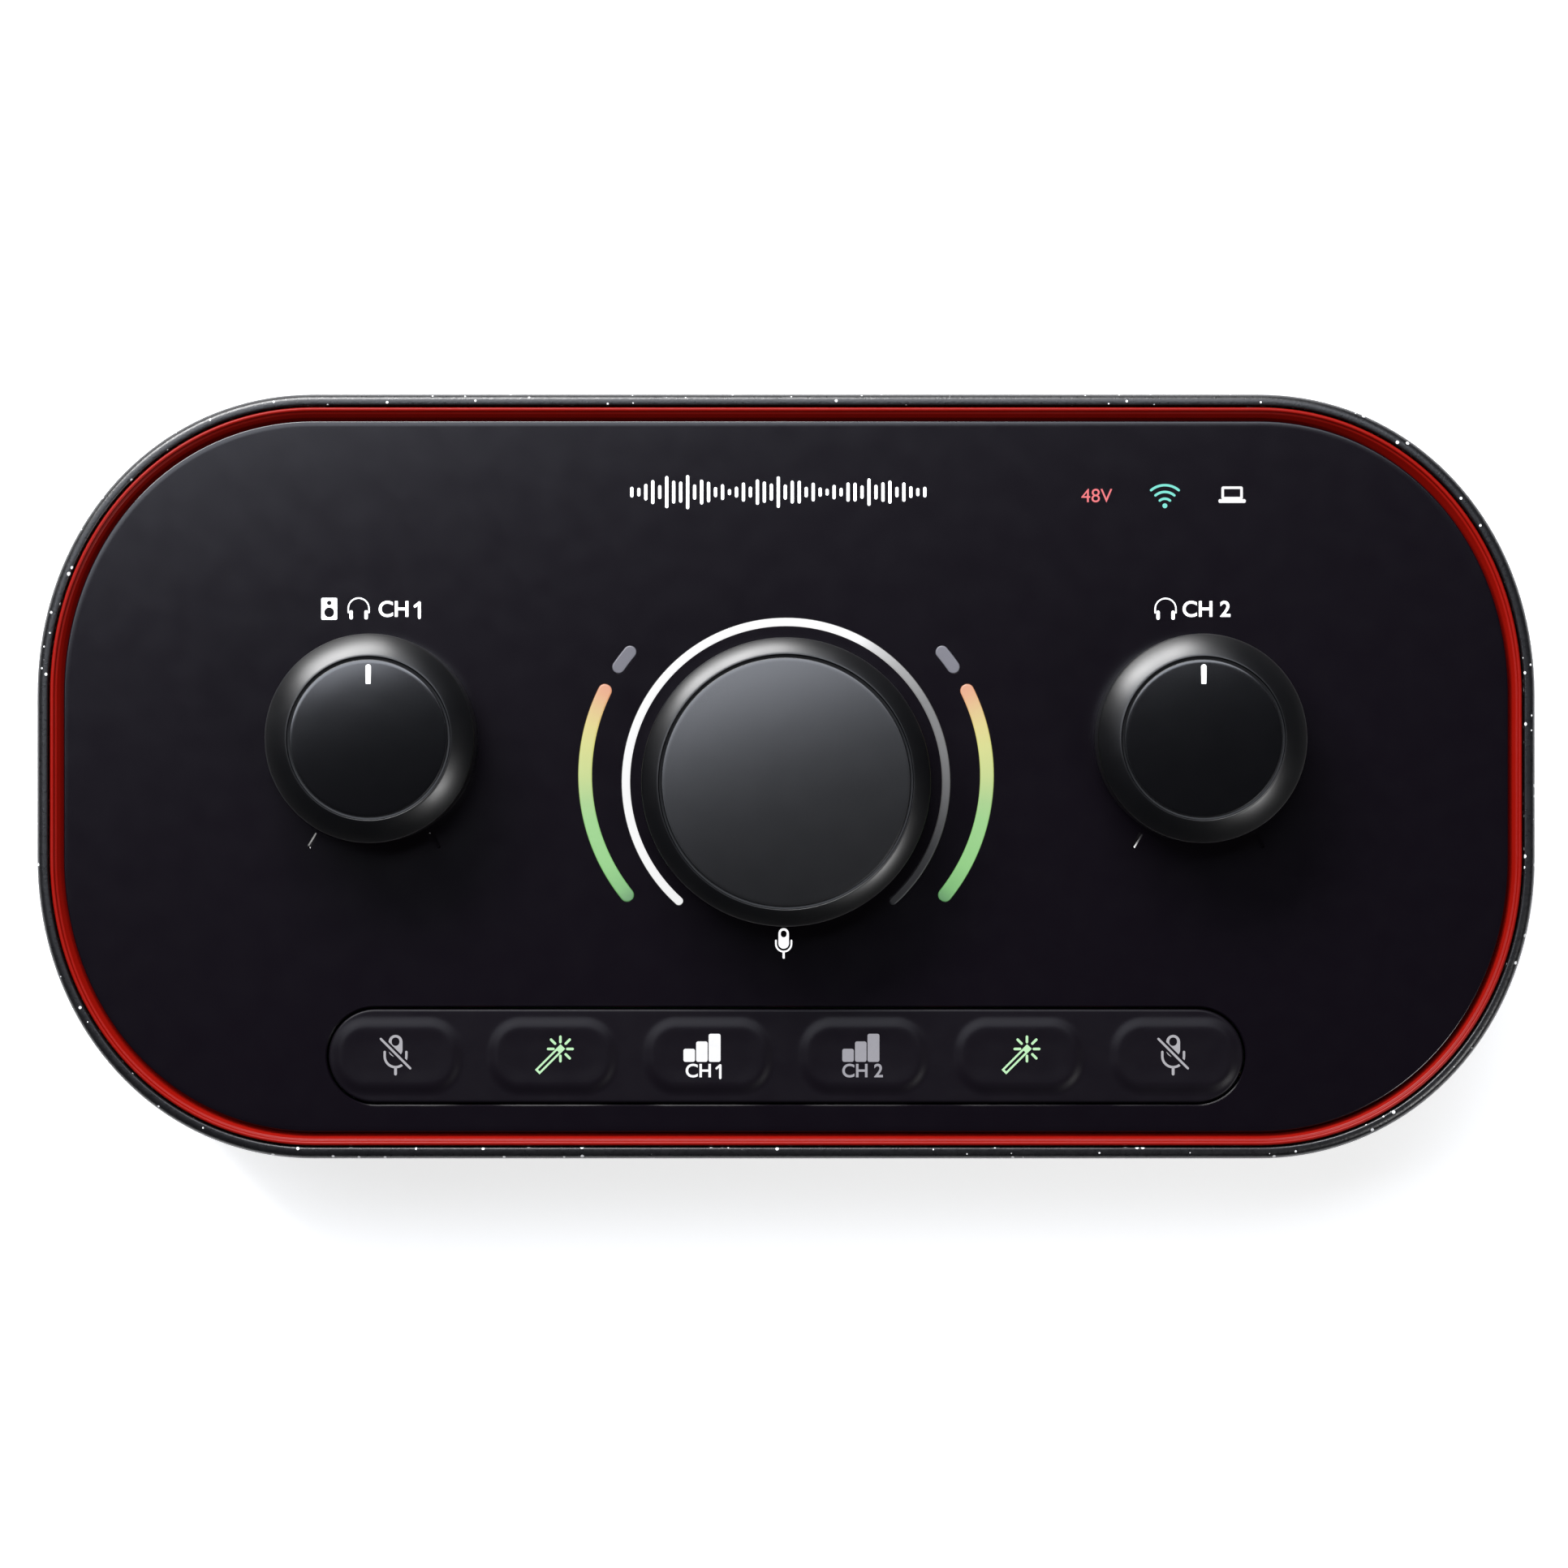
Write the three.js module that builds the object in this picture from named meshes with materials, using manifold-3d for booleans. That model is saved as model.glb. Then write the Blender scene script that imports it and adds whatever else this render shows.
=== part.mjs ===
// Desktop audio interface for two microphones, in millimetres. +Z is up, +Y is the rear.
// A rounded shell carries a top panel with three knobs, light guides and a soft six-key pad.
// The microphone, line, phone, camera and USB sockets are at the rear, the headphones in front.

import * as THREE from 'three';
import { mergeVertices } from 'three/addons/utils/BufferGeometryUtils.js';
import Module from 'manifold-3d';

const wasm = await Module();
wasm.setup();

// ---- Driving dimensions ----

const GAP = 0.3;                        // clearance between neighbouring pieces

const WIDTH = 224;
const DEPTH = 114.3;
const CORNER_X = 41.4;                  // a corner's curve takes this much of the width
const CORNER_Y = 45.1;                  // and this much of the depth
const CORNER_POWER = 2.05;              // 2 would be an ellipse
const CORNER_STEPS = 8;

const FOOT_TOP = 3;
const BASE_BOTTOM = 1.8;
const BASE_TOP = 5;
const SHELL_BOTTOM = 3.3;
const SHELL_TOP = 38;
const SHELL_WALL = 1.7;
const BOARD_THICKNESS = 1.6;
const MAIN_BOARD_Z = 7;
const CONTROL_BOARD_Z = 25.4;
const LINER_BOTTOM = 33.7;
const LEDGE_TOP = 34.9;
const PANEL_BOTTOM = LEDGE_TOP + GAP;
const PANEL_TOP = 37.2;
const KNOB_BOTTOM = 37.6;
const KNOB_TOP = 50;

const LINER_INSET = SHELL_WALL + GAP;
const BEAD_WIDTH = 0.6;
const LEDGE_INSET = 6.2;
const PANEL_INSET = 4;

const GAIN_Y = -0.85;
const LEVEL_X = 61.6;
const LEVEL_Y = 5.6;
const SHAFT_RADIUS = 3;
const SHAFT_TOP = 46.4;
const BUSH_RADIUS = 4.3;

const HALO_RADIUS = 23.95;
const HALO_WIDTH = 1.15;
const HALO_OPENING = 42;                // degrees each side of the front that the halo leaves out
const METER_RADIUS = 28.6;
const METER_WIDTH = 1.95;
const METER_SHIFT = [1.45, 1];          // meter centre, outward and rearward of the gain knob
const METER_ANGLES = [-38.7, 26.3];
const CLIP_ANGLES = [34.5, 40.1];

const KEY_COUNT = 6;
const KEY_PITCH = 23.25;
const KEY_SIZE = [19.4, 11.4];
const KEY_CORNER = 5;
const KEY_TRAVEL = 0.8;
const KEYPAD_SIZE = [137.4, 14.6];
const KEYPAD_Y = -41.8;

const SOCKET_Z = 19;
const HEADPHONE_Z = 17;
const REAR_WINDOW = { halfWidth: 69.8, bottom: 5.7, top: 32.3 };
const MIC_X = [-55, -28];
const MIC_RADIUS = 12;
const JACK_RADIUS = 6;
const LINE_OUT_X = [40, 24];
const MINI_RADIUS = 3.6;
const CAMERA_X = 10;
const PHONE_X = 0;
const PAIRING_X = -10;
const PAIRING_RADIUS = 2.6;
const PAIRING_TRAVEL = 0.8;
const USB_X = 54;
const POWER_X = 65;
const POWER_RADIUS = 3.4;
const POWER_TRAVEL = 1.5;

const FOOT_RADIUS = 8;
const FOOT_AT = [80, 30];
const SCREW_INSET = 6.5;
const SCREW_BOTTOM = 2.1;
const BOSS_TOP = 24;

// ---- Materials, one for each kind of surface ----

function surface(color, roughness, metalness = 0) {
  return () => new THREE.MeshStandardMaterial({ color, roughness, metalness });
}

const shellPaint = surface(0x2e2e31, 0.75);
const basePlastic = surface(0x232326, 0.8);
const linerRed = surface(0xb42a1c, 0.5);
const panelBlack = surface(0x15171a, 0.35);
const knobSatin = surface(0x2a2a2c, 0.4);
const softBlack = surface(0x1a1519, 0.85);
const haloWhite = surface(0xf4f6f4, 0.4);
const meterGreen = surface(0x96cc82, 0.4);
const clipGrey = surface(0x58585c, 0.5);
const clearGuide = surface(0xd8dcdc, 0.3);
const boardGreen = surface(0x1d4a33, 0.6);
const switchBlack = surface(0x1c1c1e, 0.6);
const socketBlack = surface(0x17171a, 0.5);
const plainSteel = surface(0xa8a8ac, 0.35, 1);
const footRubber = surface(0x141414, 0.95);

// ---- Solids and booleans ----

// Welds a geometry into a closed mesh, drops triangles without area and turns the faces out.
function weld(geometry) {
  geometry.deleteAttribute('normal');
  geometry.deleteAttribute('uv');
  const welded = mergeVertices(geometry, 1e-4);
  const points = welded.attributes.position;
  const corner = [new THREE.Vector3(), new THREE.Vector3(), new THREE.Vector3()];
  const kept = [];
  let volume = 0;
  for (let i = 0; i < welded.index.count; i += 3) {
    const triangle = [0, 1, 2].map((k) => welded.index.getX(i + k));
    if (new Set(triangle).size < 3) continue;
    kept.push(triangle);
    triangle.forEach((vertex, k) => corner[k].fromBufferAttribute(points, vertex));
    volume += corner[0].dot(corner[1].cross(corner[2]));
  }
  if (volume < 0) kept.forEach((triangle) => triangle.reverse());
  welded.setIndex(kept.flat());
  return welded;
}

function toManifold(geometry) {
  const welded = weld(geometry.clone());
  return new wasm.Manifold(new wasm.Mesh({
    numProp: 3,
    vertProperties: new Float32Array(welded.attributes.position.array),
    triVerts: new Uint32Array(welded.index.array),
  }));
}

function fromManifold(solid) {
  const mesh = solid.getMesh();
  const geometry = new THREE.BufferGeometry();
  geometry.setAttribute('position', new THREE.BufferAttribute(mesh.vertProperties, 3));
  geometry.setIndex(new THREE.BufferAttribute(mesh.triVerts, 1));
  return geometry;
}

function join(...geometries) {
  return fromManifold(geometries.map(toManifold).reduce((sum, next) => sum.add(next)));
}

function cut(geometry, ...tools) {
  const whole = toManifold(geometry);
  return fromManifold(tools.map(toManifold).reduce((rest, tool) => rest.subtract(tool), whole));
}

// ---- Outlines: each takes an inset and gives points counter-clockwise ----

function quarterTurns(steps, pointAt) {
  const points = [];
  for (let quarter = 0; quarter < 4; quarter += 1) {
    const sideX = quarter === 0 || quarter === 3 ? 1 : -1;
    const sideY = quarter < 2 ? 1 : -1;
    for (let step = 0; step <= steps; step += 1) {
      const turn = quarter % 2 === 0 ? step / steps : 1 - step / steps;
      const [x, y] = pointAt(turn * Math.PI / 2);
      points.push(new THREE.Vector2(sideX * x, sideY * y));
    }
  }
  return points;
}

// The plan of the whole product: straight sides and superellipse corners.
function planOutline(inset) {
  const power = 2 / CORNER_POWER;
  return quarterTurns(CORNER_STEPS, (angle) => [
    WIDTH / 2 - CORNER_X + (CORNER_X - inset) * Math.cos(angle) ** power,
    DEPTH / 2 - CORNER_Y + (CORNER_Y - inset) * Math.sin(angle) ** power,
  ]);
}

function roundedOutline(width, height, radius, steps = 3) {
  return (inset) => quarterTurns(steps, (angle) => [
    width / 2 - radius + (radius - inset) * Math.cos(angle),
    height / 2 - radius + (radius - inset) * Math.sin(angle),
  ]);
}

function arcPoints(radius, fromDegrees, toDegrees, steps, [x, y] = [0, 0]) {
  const points = [];
  for (let step = 0; step <= steps; step += 1) {
    const angle = THREE.MathUtils.degToRad(fromDegrees + (toDegrees - fromDegrees) * step / steps);
    points.push(new THREE.Vector2(x + radius * Math.cos(angle), y + radius * Math.sin(angle)));
  }
  return points;
}

// A band of even width along an arc, with round ends.
function arcBand(radius, width, fromDegrees, toDegrees, steps) {
  const end = (degrees) => arcPoints(radius, degrees, degrees, 1)[0].toArray();
  return [
    ...arcPoints(radius + width / 2, fromDegrees, toDegrees, steps),
    ...arcPoints(width / 2, toDegrees, toDegrees + 180, 4, end(toDegrees)).slice(1, -1),
    ...arcPoints(radius - width / 2, toDegrees, fromDegrees, steps),
    ...arcPoints(width / 2, fromDegrees + 180, fromDegrees + 360, 4, end(fromDegrees)).slice(1, -1),
  ];
}

// ---- Solid makers ----

function prism(points, bottom, top) {
  const options = { depth: top - bottom, bevelEnabled: false };
  return new THREE.ExtrudeGeometry(new THREE.Shape(points), options).translate(0, 0, bottom);
}

function box(width, depth, height, x = 0, y = 0, bottom = 0) {
  return new THREE.BoxGeometry(width, depth, height).translate(x, y, bottom + height / 2);
}

// A box between its lowest and highest corners.
function block(low, high) {
  const size = high.map((value, i) => value - low[i]);
  return new THREE.BoxGeometry(...size).translate(...low.map((value, i) => value + size[i] / 2));
}

function rod(radius, bottom, top, segments, x = 0, y = 0) {
  const geometry = new THREE.CylinderGeometry(radius, radius, top - bottom, segments);
  return geometry.rotateX(Math.PI / 2).translate(x, y, (bottom + top) / 2);
}

// Turns a profile of [radius, height] points, which starts and ends on the axis, about Z.
function turned(profile, segments) {
  const geometry = new THREE.LatheGeometry(profile.map(([r, z]) => new THREE.Vector2(r, z)), segments);
  return weld(geometry.rotateX(Math.PI / 2));
}

// Skins layers of [inset, height] of one outline. A solid has flat ends; a ring closes on itself.
function skinned(outlineAt, layers, isRing) {
  const loops = layers.map(([inset, height]) => outlineAt(inset).map((p) => [p.x, p.y, height]));
  const count = loops[0].length;
  const index = [];
  const bands = isRing ? layers.length : layers.length - 1;
  for (let layer = 0; layer < bands; layer += 1) {
    const here = layer * count;
    const above = ((layer + 1) % layers.length) * count;
    for (let i = 0; i < count; i += 1) {
      const next = (i + 1) % count;
      index.push(here + i, here + next, above + next, here + i, above + next, above + i);
    }
  }
  const top = (layers.length - 1) * count;
  for (let i = 1; !isRing && i < count - 1; i += 1) {
    index.push(0, i + 1, i, top, top + i, top + i + 1);
  }
  const geometry = new THREE.BufferGeometry();
  geometry.setAttribute('position', new THREE.Float32BufferAttribute(loops.flat(2), 3));
  geometry.setIndex(index);
  return weld(geometry);
}

const layered = (outlineAt, layers) => skinned(outlineAt, layers, false);
const ring = (outlineAt, layers) => skinned(outlineAt, layers, true);

function node(name, geometry, material, x = 0, y = 0, z = 0) {
  const mesh = new THREE.Mesh(geometry, material());
  mesh.name = name;
  mesh.position.set(x, y, z);
  return mesh;
}

function fourCorners([x, y]) {
  return [[-x, -y], [x, -y], [x, y], [-x, y]];
}

// ---- Casing ----

function screwPlace() {
  const quarterOutline = planOutline(SCREW_INSET);
  return quarterOutline[CORNER_STEPS / 2].toArray();
}

function basePlate() {
  const recess = 1.2;
  const plate = layered(planOutline, [
    [3.6, BASE_BOTTOM], [LINER_INSET, SHELL_BOTTOM], [LINER_INSET, BASE_TOP],
  ]);
  const feet = fourCorners(FOOT_AT).map(([x, y]) => (
    rod(FOOT_RADIUS + GAP, 0, BASE_BOTTOM + recess + GAP, 16, x, y)));
  const screws = fourCorners(screwPlace()).flatMap(([x, y]) => [
    rod(3, 0, 3.7, 12, x, y), rod(1.6, 0, BASE_TOP + 1, 8, x, y),
  ]);
  const posts = fourCorners([48, 22]).map(([x, y]) => rod(3, BASE_TOP - 1, MAIN_BOARD_Z - GAP, 8, x, y));
  return cut(join(plate, ...posts), ...feet, ...screws);
}

function outerShell() {
  const wall = ring(planOutline, [
    [SHELL_WALL, SHELL_BOTTOM], [0.8, SHELL_BOTTOM], [0, SHELL_BOTTOM + 0.8],
    [0, SHELL_TOP - 1.5], [0.25, SHELL_TOP - 0.6], [0.9, SHELL_TOP], [SHELL_WALL, SHELL_TOP],
  ]);
  const bosses = fourCorners(screwPlace()).map(([x, y]) => {
    const boss = rod(3.4, BASE_TOP + GAP, BOSS_TOP, 10, x, y);
    const reach = SCREW_INSET - SHELL_WALL / 2;
    const rib = box(reach, 2, BOSS_TOP - BASE_TOP - GAP, reach / 2, 0, BASE_TOP + GAP);
    rib.rotateZ(Math.atan2(Math.sign(y), Math.sign(x))).translate(x, y, 0);
    return join(boss, rib);
  });
  const screwHoles = fourCorners(screwPlace()).map(([x, y]) => rod(1.5, BASE_TOP, 13.5, 8, x, y));
  const { halfWidth, bottom, top } = REAR_WINDOW;
  const rearWindow = box(2 * halfWidth, 6, top - bottom, 0, DEPTH / 2, bottom);
  const headphoneHoles = [-LEVEL_X, LEVEL_X].map((x) => (
    rod(JACK_RADIUS + GAP, -3, 3, 20).rotateX(Math.PI / 2).translate(x, -DEPTH / 2, HEADPHONE_Z)));
  return cut(join(wall, ...bosses), ...screwHoles, rearWindow, ...headphoneHoles);
}

function accentLiner() {
  const beadTop = SHELL_TOP - 0.2;
  return ring(planOutline, [
    [LEDGE_INSET, LINER_BOTTOM], [LINER_INSET, LINER_BOTTOM], [LINER_INSET, beadTop - 0.2],
    [LINER_INSET + BEAD_WIDTH / 2, beadTop], [LINER_INSET + BEAD_WIDTH, beadTop - 0.2],
    [PANEL_INSET + 0.3, LEDGE_TOP], [LEDGE_INSET, LEDGE_TOP],
  ]);
}

function foot() {
  const edge = 0.6;
  return turned([
    [0, 0], [FOOT_RADIUS - edge, 0], [FOOT_RADIUS, edge], [FOOT_RADIUS, FOOT_TOP], [0, FOOT_TOP],
  ], 16);
}

function screw() {
  const head = 2.6;
  const headTop = 3.4;
  const shank = 1.2;
  const tip = 13;
  const body = turned([
    [0, SCREW_BOTTOM], [head, SCREW_BOTTOM], [head, headTop], [shank, headTop], [shank, tip - 0.5], [0, tip],
  ], 12);
  const slotBottom = SCREW_BOTTOM - 0.3;
  return cut(body, box(3.2, 0.7, 1, 0, 0, slotBottom), box(0.7, 3.2, 1, 0, 0, slotBottom));
}

// ---- Light guides and top panel ----

function bandPrism(radius, width, angles, steps, bottom, top) {
  return prism(arcBand(radius, width, angles[0], angles[1], steps), bottom, top);
}

const HALO_ANGLES = [HALO_OPENING - 90, 270 - HALO_OPENING];
const GUIDE_BOTTOM = CONTROL_BOARD_Z + BOARD_THICKNESS + GAP;

function haloGuide(margin = 0, bottom = GUIDE_BOTTOM, top = PANEL_TOP) {
  return bandPrism(HALO_RADIUS, HALO_WIDTH + 2 * margin, HALO_ANGLES, 24, bottom, top);
}

// One arc of a level meter or of its clip light. `side` is -1 for the left and 1 for the right.
function meterGuide(side, angles, steps, margin = 0, bottom = GUIDE_BOTTOM, top = PANEL_TOP) {
  const turnedAngles = side > 0 ? angles : [180 - angles[1], 180 - angles[0]];
  return bandPrism(METER_RADIUS, METER_WIDTH + 2 * margin, turnedAngles, steps, bottom, top);
}

function meterPlace(side) {
  return [side * METER_SHIFT[0], GAIN_Y + METER_SHIFT[1]];
}

function topPanel() {
  const plate = layered(planOutline, [
    [PANEL_INSET + 0.8, PANEL_BOTTOM], [PANEL_INSET, PANEL_BOTTOM + 0.8],
    [PANEL_INSET, PANEL_TOP - 0.25], [PANEL_INSET + 0.25, PANEL_TOP],
  ]);
  const below = PANEL_BOTTOM - 1;
  const above = PANEL_TOP + 1;
  const meterSlots = [-1, 1].flatMap((side) => {
    const [x, y] = meterPlace(side);
    const meter = meterGuide(side, METER_ANGLES, 10, GAP, below, above);
    const clip = meterGuide(side, CLIP_ANGLES, 2, GAP, below, above);
    return [meter.translate(x, y, 0), clip.translate(x, y, 0)];
  });
  return cut(
    plate,
    haloGuide(GAP, below, above).translate(0, GAIN_Y, 0),
    ...meterSlots,
    rod(BUSH_RADIUS + GAP, below, above, 16, 0, GAIN_Y),
    ...[-LEVEL_X, LEVEL_X].map((x) => rod(BUSH_RADIUS + GAP, below, above, 16, x, LEVEL_Y)),
    prism(roundedOutline(...KEYPAD_SIZE, KEYPAD_SIZE[1] / 2, 6)(0), below, above).translate(0, KEYPAD_Y, 0),
  );
}

// A bar under the panel with three posts: phantom power, wireless and computer status lights.
function statusLightGuide() {
  const postTop = PANEL_BOTTOM - GAP;
  const bar = box(26, 5, 1.5, 0, 0, GUIDE_BOTTOM);
  const posts = [-10.2, 0, 10.2].map((x) => box(4.6, 3.6, postTop - GUIDE_BOTTOM, x, 0, GUIDE_BOTTOM));
  return join(bar, ...posts);
}

// ---- Keypad ----

function keyPlaces() {
  return Array.from({ length: KEY_COUNT }, (_, i) => (i - (KEY_COUNT - 1) / 2) * KEY_PITCH);
}

function keypadMembrane() {
  const [width, height] = KEYPAD_SIZE;
  const bottom = 33.6;
  const top = PANEL_TOP - 0.2;
  const web = layered(roundedOutline(width, height, height / 2, 6), [
    [-0.9, bottom], [-0.9, PANEL_BOTTOM - GAP], [GAP, PANEL_BOTTOM - GAP], [GAP, top - 0.2], [GAP + 0.2, top],
  ]);
  const holes = keyPlaces().map((x) => (
    prism(roundedOutline(...KEY_SIZE, KEY_CORNER)(-GAP), bottom - 1, top + 1).translate(x, 0, 0)));
  return cut(web, ...holes);
}

function key() {
  const cap = layered(roundedOutline(...KEY_SIZE, KEY_CORNER), [
    [0, 34], [0, PANEL_TOP - 0.3], [0.8, PANEL_TOP + 0.2], [2.6, PANEL_TOP + 0.5],
  ]);
  return join(cap, rod(1.5, 32.5, 35, 8));
}

function keySwitch() {
  const bottom = GUIDE_BOTTOM;
  return join(box(6, 6, 3.5, 0, 0, bottom), rod(1.6, bottom + 3, 32.5 - KEY_TRAVEL - 0.2, 8));
}

// ---- Knobs, shafts and what turns them ----

// The rounded shoulder of a knob, from the top of its wall up to its inner edge. Its slope eases
// from 90 degrees at the wall through a fillet, then evenly from 46 down to 36 degrees.
function knobShoulder(baseRadius, edgeRadius, edgeHeight, steps) {
  const fillet = 0.4;
  const [atEdge, atFillet, atWall] = [36, 46, 90].map(THREE.MathUtils.degToRad);
  const band = baseRadius - fillet * (1 - Math.sin(atFillet)) - edgeRadius;
  const turn = atFillet - atEdge;
  const slope = [];
  for (let step = steps; step >= 0; step -= 1) {
    const share = step / steps;
    const drop = band * Math.log(Math.cos(atEdge) / Math.cos(atEdge + turn * share)) / turn;
    slope.push([edgeRadius + band * share, edgeHeight - drop]);
  }
  const filletCentre = slope[0][1] - fillet * Math.cos(atFillet);
  const filletPoints = [atWall, (atWall + atFillet) / 2].map((lean) => [
    baseRadius - fillet * (1 - Math.sin(lean)), filletCentre + fillet * Math.cos(lean),
  ]);
  return [...filletPoints, ...slope];
}

// A cap with a rounded shoulder, a raised disc on top and a hub that grips the shaft.
function knobCap(baseRadius, discRadius, segments) {
  const bore = SHAFT_RADIUS + GAP;
  const hub = bore + 3;
  const hubBottom = 39;
  const ceiling = KNOB_TOP - 3.4;
  const wall = 1.5;
  const shoulderTop = KNOB_TOP - 0.4;
  return turned([
    [0, SHAFT_TOP + GAP], [bore, SHAFT_TOP + GAP], [bore, hubBottom], [hub, hubBottom], [hub, ceiling],
    [discRadius - wall, ceiling], [baseRadius - wall, ceiling - 6], [baseRadius - wall, KNOB_BOTTOM],
    [baseRadius, KNOB_BOTTOM], ...knobShoulder(baseRadius, discRadius + 0.7, shoulderTop, 2),
    [discRadius + 0.2, shoulderTop - 0.2], [discRadius, KNOB_TOP - 0.2], [discRadius - 0.2, KNOB_TOP],
    [0, KNOB_TOP],
  ], segments);
}

function levelKnobCap() {
  const pointerLine = box(0.8, 3.7, 1, 0, 9.2, KNOB_TOP - 0.3);
  return cut(knobCap(15.5, 11.65, 28), pointerLine);
}

// The fixed body of a potentiometer or encoder, with the bush that its shaft turns in.
function shaftHousing(size) {
  const bodyTop = 33.5;
  const body = box(size, size, bodyTop - GUIDE_BOTTOM, 0, 0, GUIDE_BOTTOM);
  const bush = rod(BUSH_RADIUS, bodyTop - 1, PANEL_TOP - GAP, 16);
  return cut(join(body, bush), rod(SHAFT_RADIUS + GAP, GUIDE_BOTTOM + 1, PANEL_TOP + 1, 12));
}

function shaft() {
  return rod(SHAFT_RADIUS, GUIDE_BOTTOM + 1 + GAP, SHAFT_TOP, 12);
}

// ---- Circuit boards ----

function board(bottom, ...cutouts) {
  const plate = layered(planOutline, [[8.5, bottom], [8.5, bottom + BOARD_THICKNESS]]);
  const bossHoles = fourCorners(screwPlace()).map(([x, y]) => rod(3.8, bottom - 1, bottom + 3, 12, x, y));
  return cut(plate, ...bossHoles, ...cutouts);
}

function controlBoard() {
  return board(CONTROL_BOARD_Z, box(62, 40, 10, -41.5, 55, CONTROL_BOARD_Z - 3));
}

function mainBoard() {
  return board(MAIN_BOARD_Z, box(54.5, 40, 10, -41.5, 56.5, MAIN_BOARD_Z - 3));
}

// ---- Connectors. Each is made with its mouth up at height 0 and +Y towards the base. ----

const FLANGE_FRONT = -2.05;             // the rear panel's plate ends and its flange starts here
const FLANGE_BACK = -3.25;
const PANEL_RECESS = 0.45;
const MIC_FLOOR = -17;
const MOUTH_RECESS = 0.15;
const BEHIND_FLANGE = FLANGE_BACK - GAP + MOUTH_RECESS;

function rearPanel() {
  const { halfWidth, bottom, top } = REAR_WINDOW;
  const plateHalf = halfWidth - GAP;
  const flangeHalf = halfWidth + 1.4;
  const plate = block([-plateHalf, GAP - top, FLANGE_FRONT], [plateHalf, -GAP - bottom, -PANEL_RECESS]);
  const flange = block([-flangeHalf, -1 - top, FLANGE_BACK], [flangeHalf, GAP - bottom, FLANGE_FRONT]);
  const hole = (radius, x, segments) => rod(radius + GAP, -5, 1, segments, x, -SOCKET_Z);
  const usbHole = prism(roundedOutline(10.2, 4.5, 2.2, 3)(0), -5, 1).translate(USB_X, -SOCKET_Z, 0);
  return cut(
    join(plate, flange),
    ...MIC_X.map((x) => hole(MIC_RADIUS, x, 28)),
    ...LINE_OUT_X.map((x) => hole(JACK_RADIUS, x, 20)),
    ...[PHONE_X, CAMERA_X].map((x) => hole(MINI_RADIUS, x, 14)),
    hole(PAIRING_RADIUS, PAIRING_X, 12),
    hole(POWER_RADIUS, POWER_X, 14),
    usbHole,
  );
}

function micSocket() {
  const mouth = -PANEL_RECESS;
  const body = rod(MIC_RADIUS, MIC_FLOOR - 3, mouth, 28);
  const latchSlot = box(6.6, 4, 13, 0, -11, mouth - 12);
  return cut(body, rod(9.7, MIC_FLOOR, mouth + 1, 28), latchSlot);
}

function micInsert() {
  const core = rod(7.7, MIC_FLOOR + GAP, -2.5, 20);
  const pinHoles = arcPoints(3.8, 30, 270, 2).map(({ x, y }) => rod(1.35, MIC_FLOOR + 3, 0, 8, x, y));
  return cut(core, ...pinHoles);
}

function micLatch() {
  return join(box(6, 1.3, 9.9, 0, -10.95, -10.1), box(4.4, 0.9, 1.2, 0, -10.2, -8));
}

// A quarter-inch or 3.5 mm socket: a round nose in the wall and a square body on the main board.
function jackSocket(noseRadius, boreRadius, length, bodyWidth, socketZ, segments) {
  const floorY = socketZ - MAIN_BOARD_Z - BOARD_THICKNESS - GAP;
  const half = bodyWidth / 2;
  const body = block([-half, 1 - half, -length], [half, floorY, BEHIND_FLANGE]);
  const nose = rod(noseRadius, BEHIND_FLANGE - 1, 0, segments);
  return cut(join(body, nose), rod(boreRadius, -length + 1.2, 1, 16));
}

function usbSocket() {
  const sleeve = prism(roundedOutline(9.6, 3.9, 1.9, 3)(0), -9, 0);
  const carrier = box(10, 9.3, 5, 0, 5.4, -9);
  const cavity = prism(roundedOutline(8.4, 2.7, 1.3, 3)(0), -7.6, 1);
  const tongue = box(6.6, 0.7, 6.6, 0, 0, -8.4);
  return join(cut(join(sleeve, carrier), cavity), tongue);
}

const BUTTON_BACK = -7;

// A round cap that stands in the rear panel, with a collar behind it that keeps it in.
function pushButton(radius) {
  const collar = radius + 1;
  const collarFront = BUTTON_BACK + 1.4;
  const edge = 0.3;
  return turned([
    [0, BUTTON_BACK], [collar, BUTTON_BACK], [collar, collarFront], [radius, collarFront],
    [radius, -edge], [radius - edge, 0], [0, 0],
  ], 14);
}

function pushSwitch(travel) {
  const plungerTop = BUTTON_BACK - travel - 0.2;
  return join(box(7, 12, 5, 0, 4, plungerTop - 6), rod(1.5, plungerTop - 2, plungerTop, 8));
}

// ---- Assembly ----

function addCasing(parent) {
  parent.add(node('base_plate', basePlate(), basePlastic));
  parent.add(node('outer_shell', outerShell(), shellPaint));
  parent.add(node('accent_liner', accentLiner(), linerRed));
  parent.add(node('top_panel', topPanel(), panelBlack));
  fourCorners(FOOT_AT).forEach(([x, y], i) => {
    parent.add(node(`foot_${i + 1}`, foot(), footRubber, x, y));
  });
  fourCorners(screwPlace()).forEach(([x, y], i) => {
    parent.add(node(`screw_${i + 1}`, screw(), plainSteel, x, y));
  });
}

function addBoards(parent) {
  parent.add(node('main_board', mainBoard(), boardGreen));
  parent.add(node('control_board', controlBoard(), boardGreen));
}

function addLights(parent) {
  parent.add(node('gain_halo', haloGuide(), haloWhite, 0, GAIN_Y));
  [-1, 1].forEach((side, i) => {
    const [x, y] = meterPlace(side);
    parent.add(node(`meter_light_${i + 1}`, meterGuide(side, METER_ANGLES, 10), meterGreen, x, y));
    parent.add(node(`clip_light_${i + 1}`, meterGuide(side, CLIP_ANGLES, 2), clipGrey, x, y));
  });
  parent.add(node('status_light_guide', statusLightGuide(), clearGuide, 56.6, 42));
}

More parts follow.
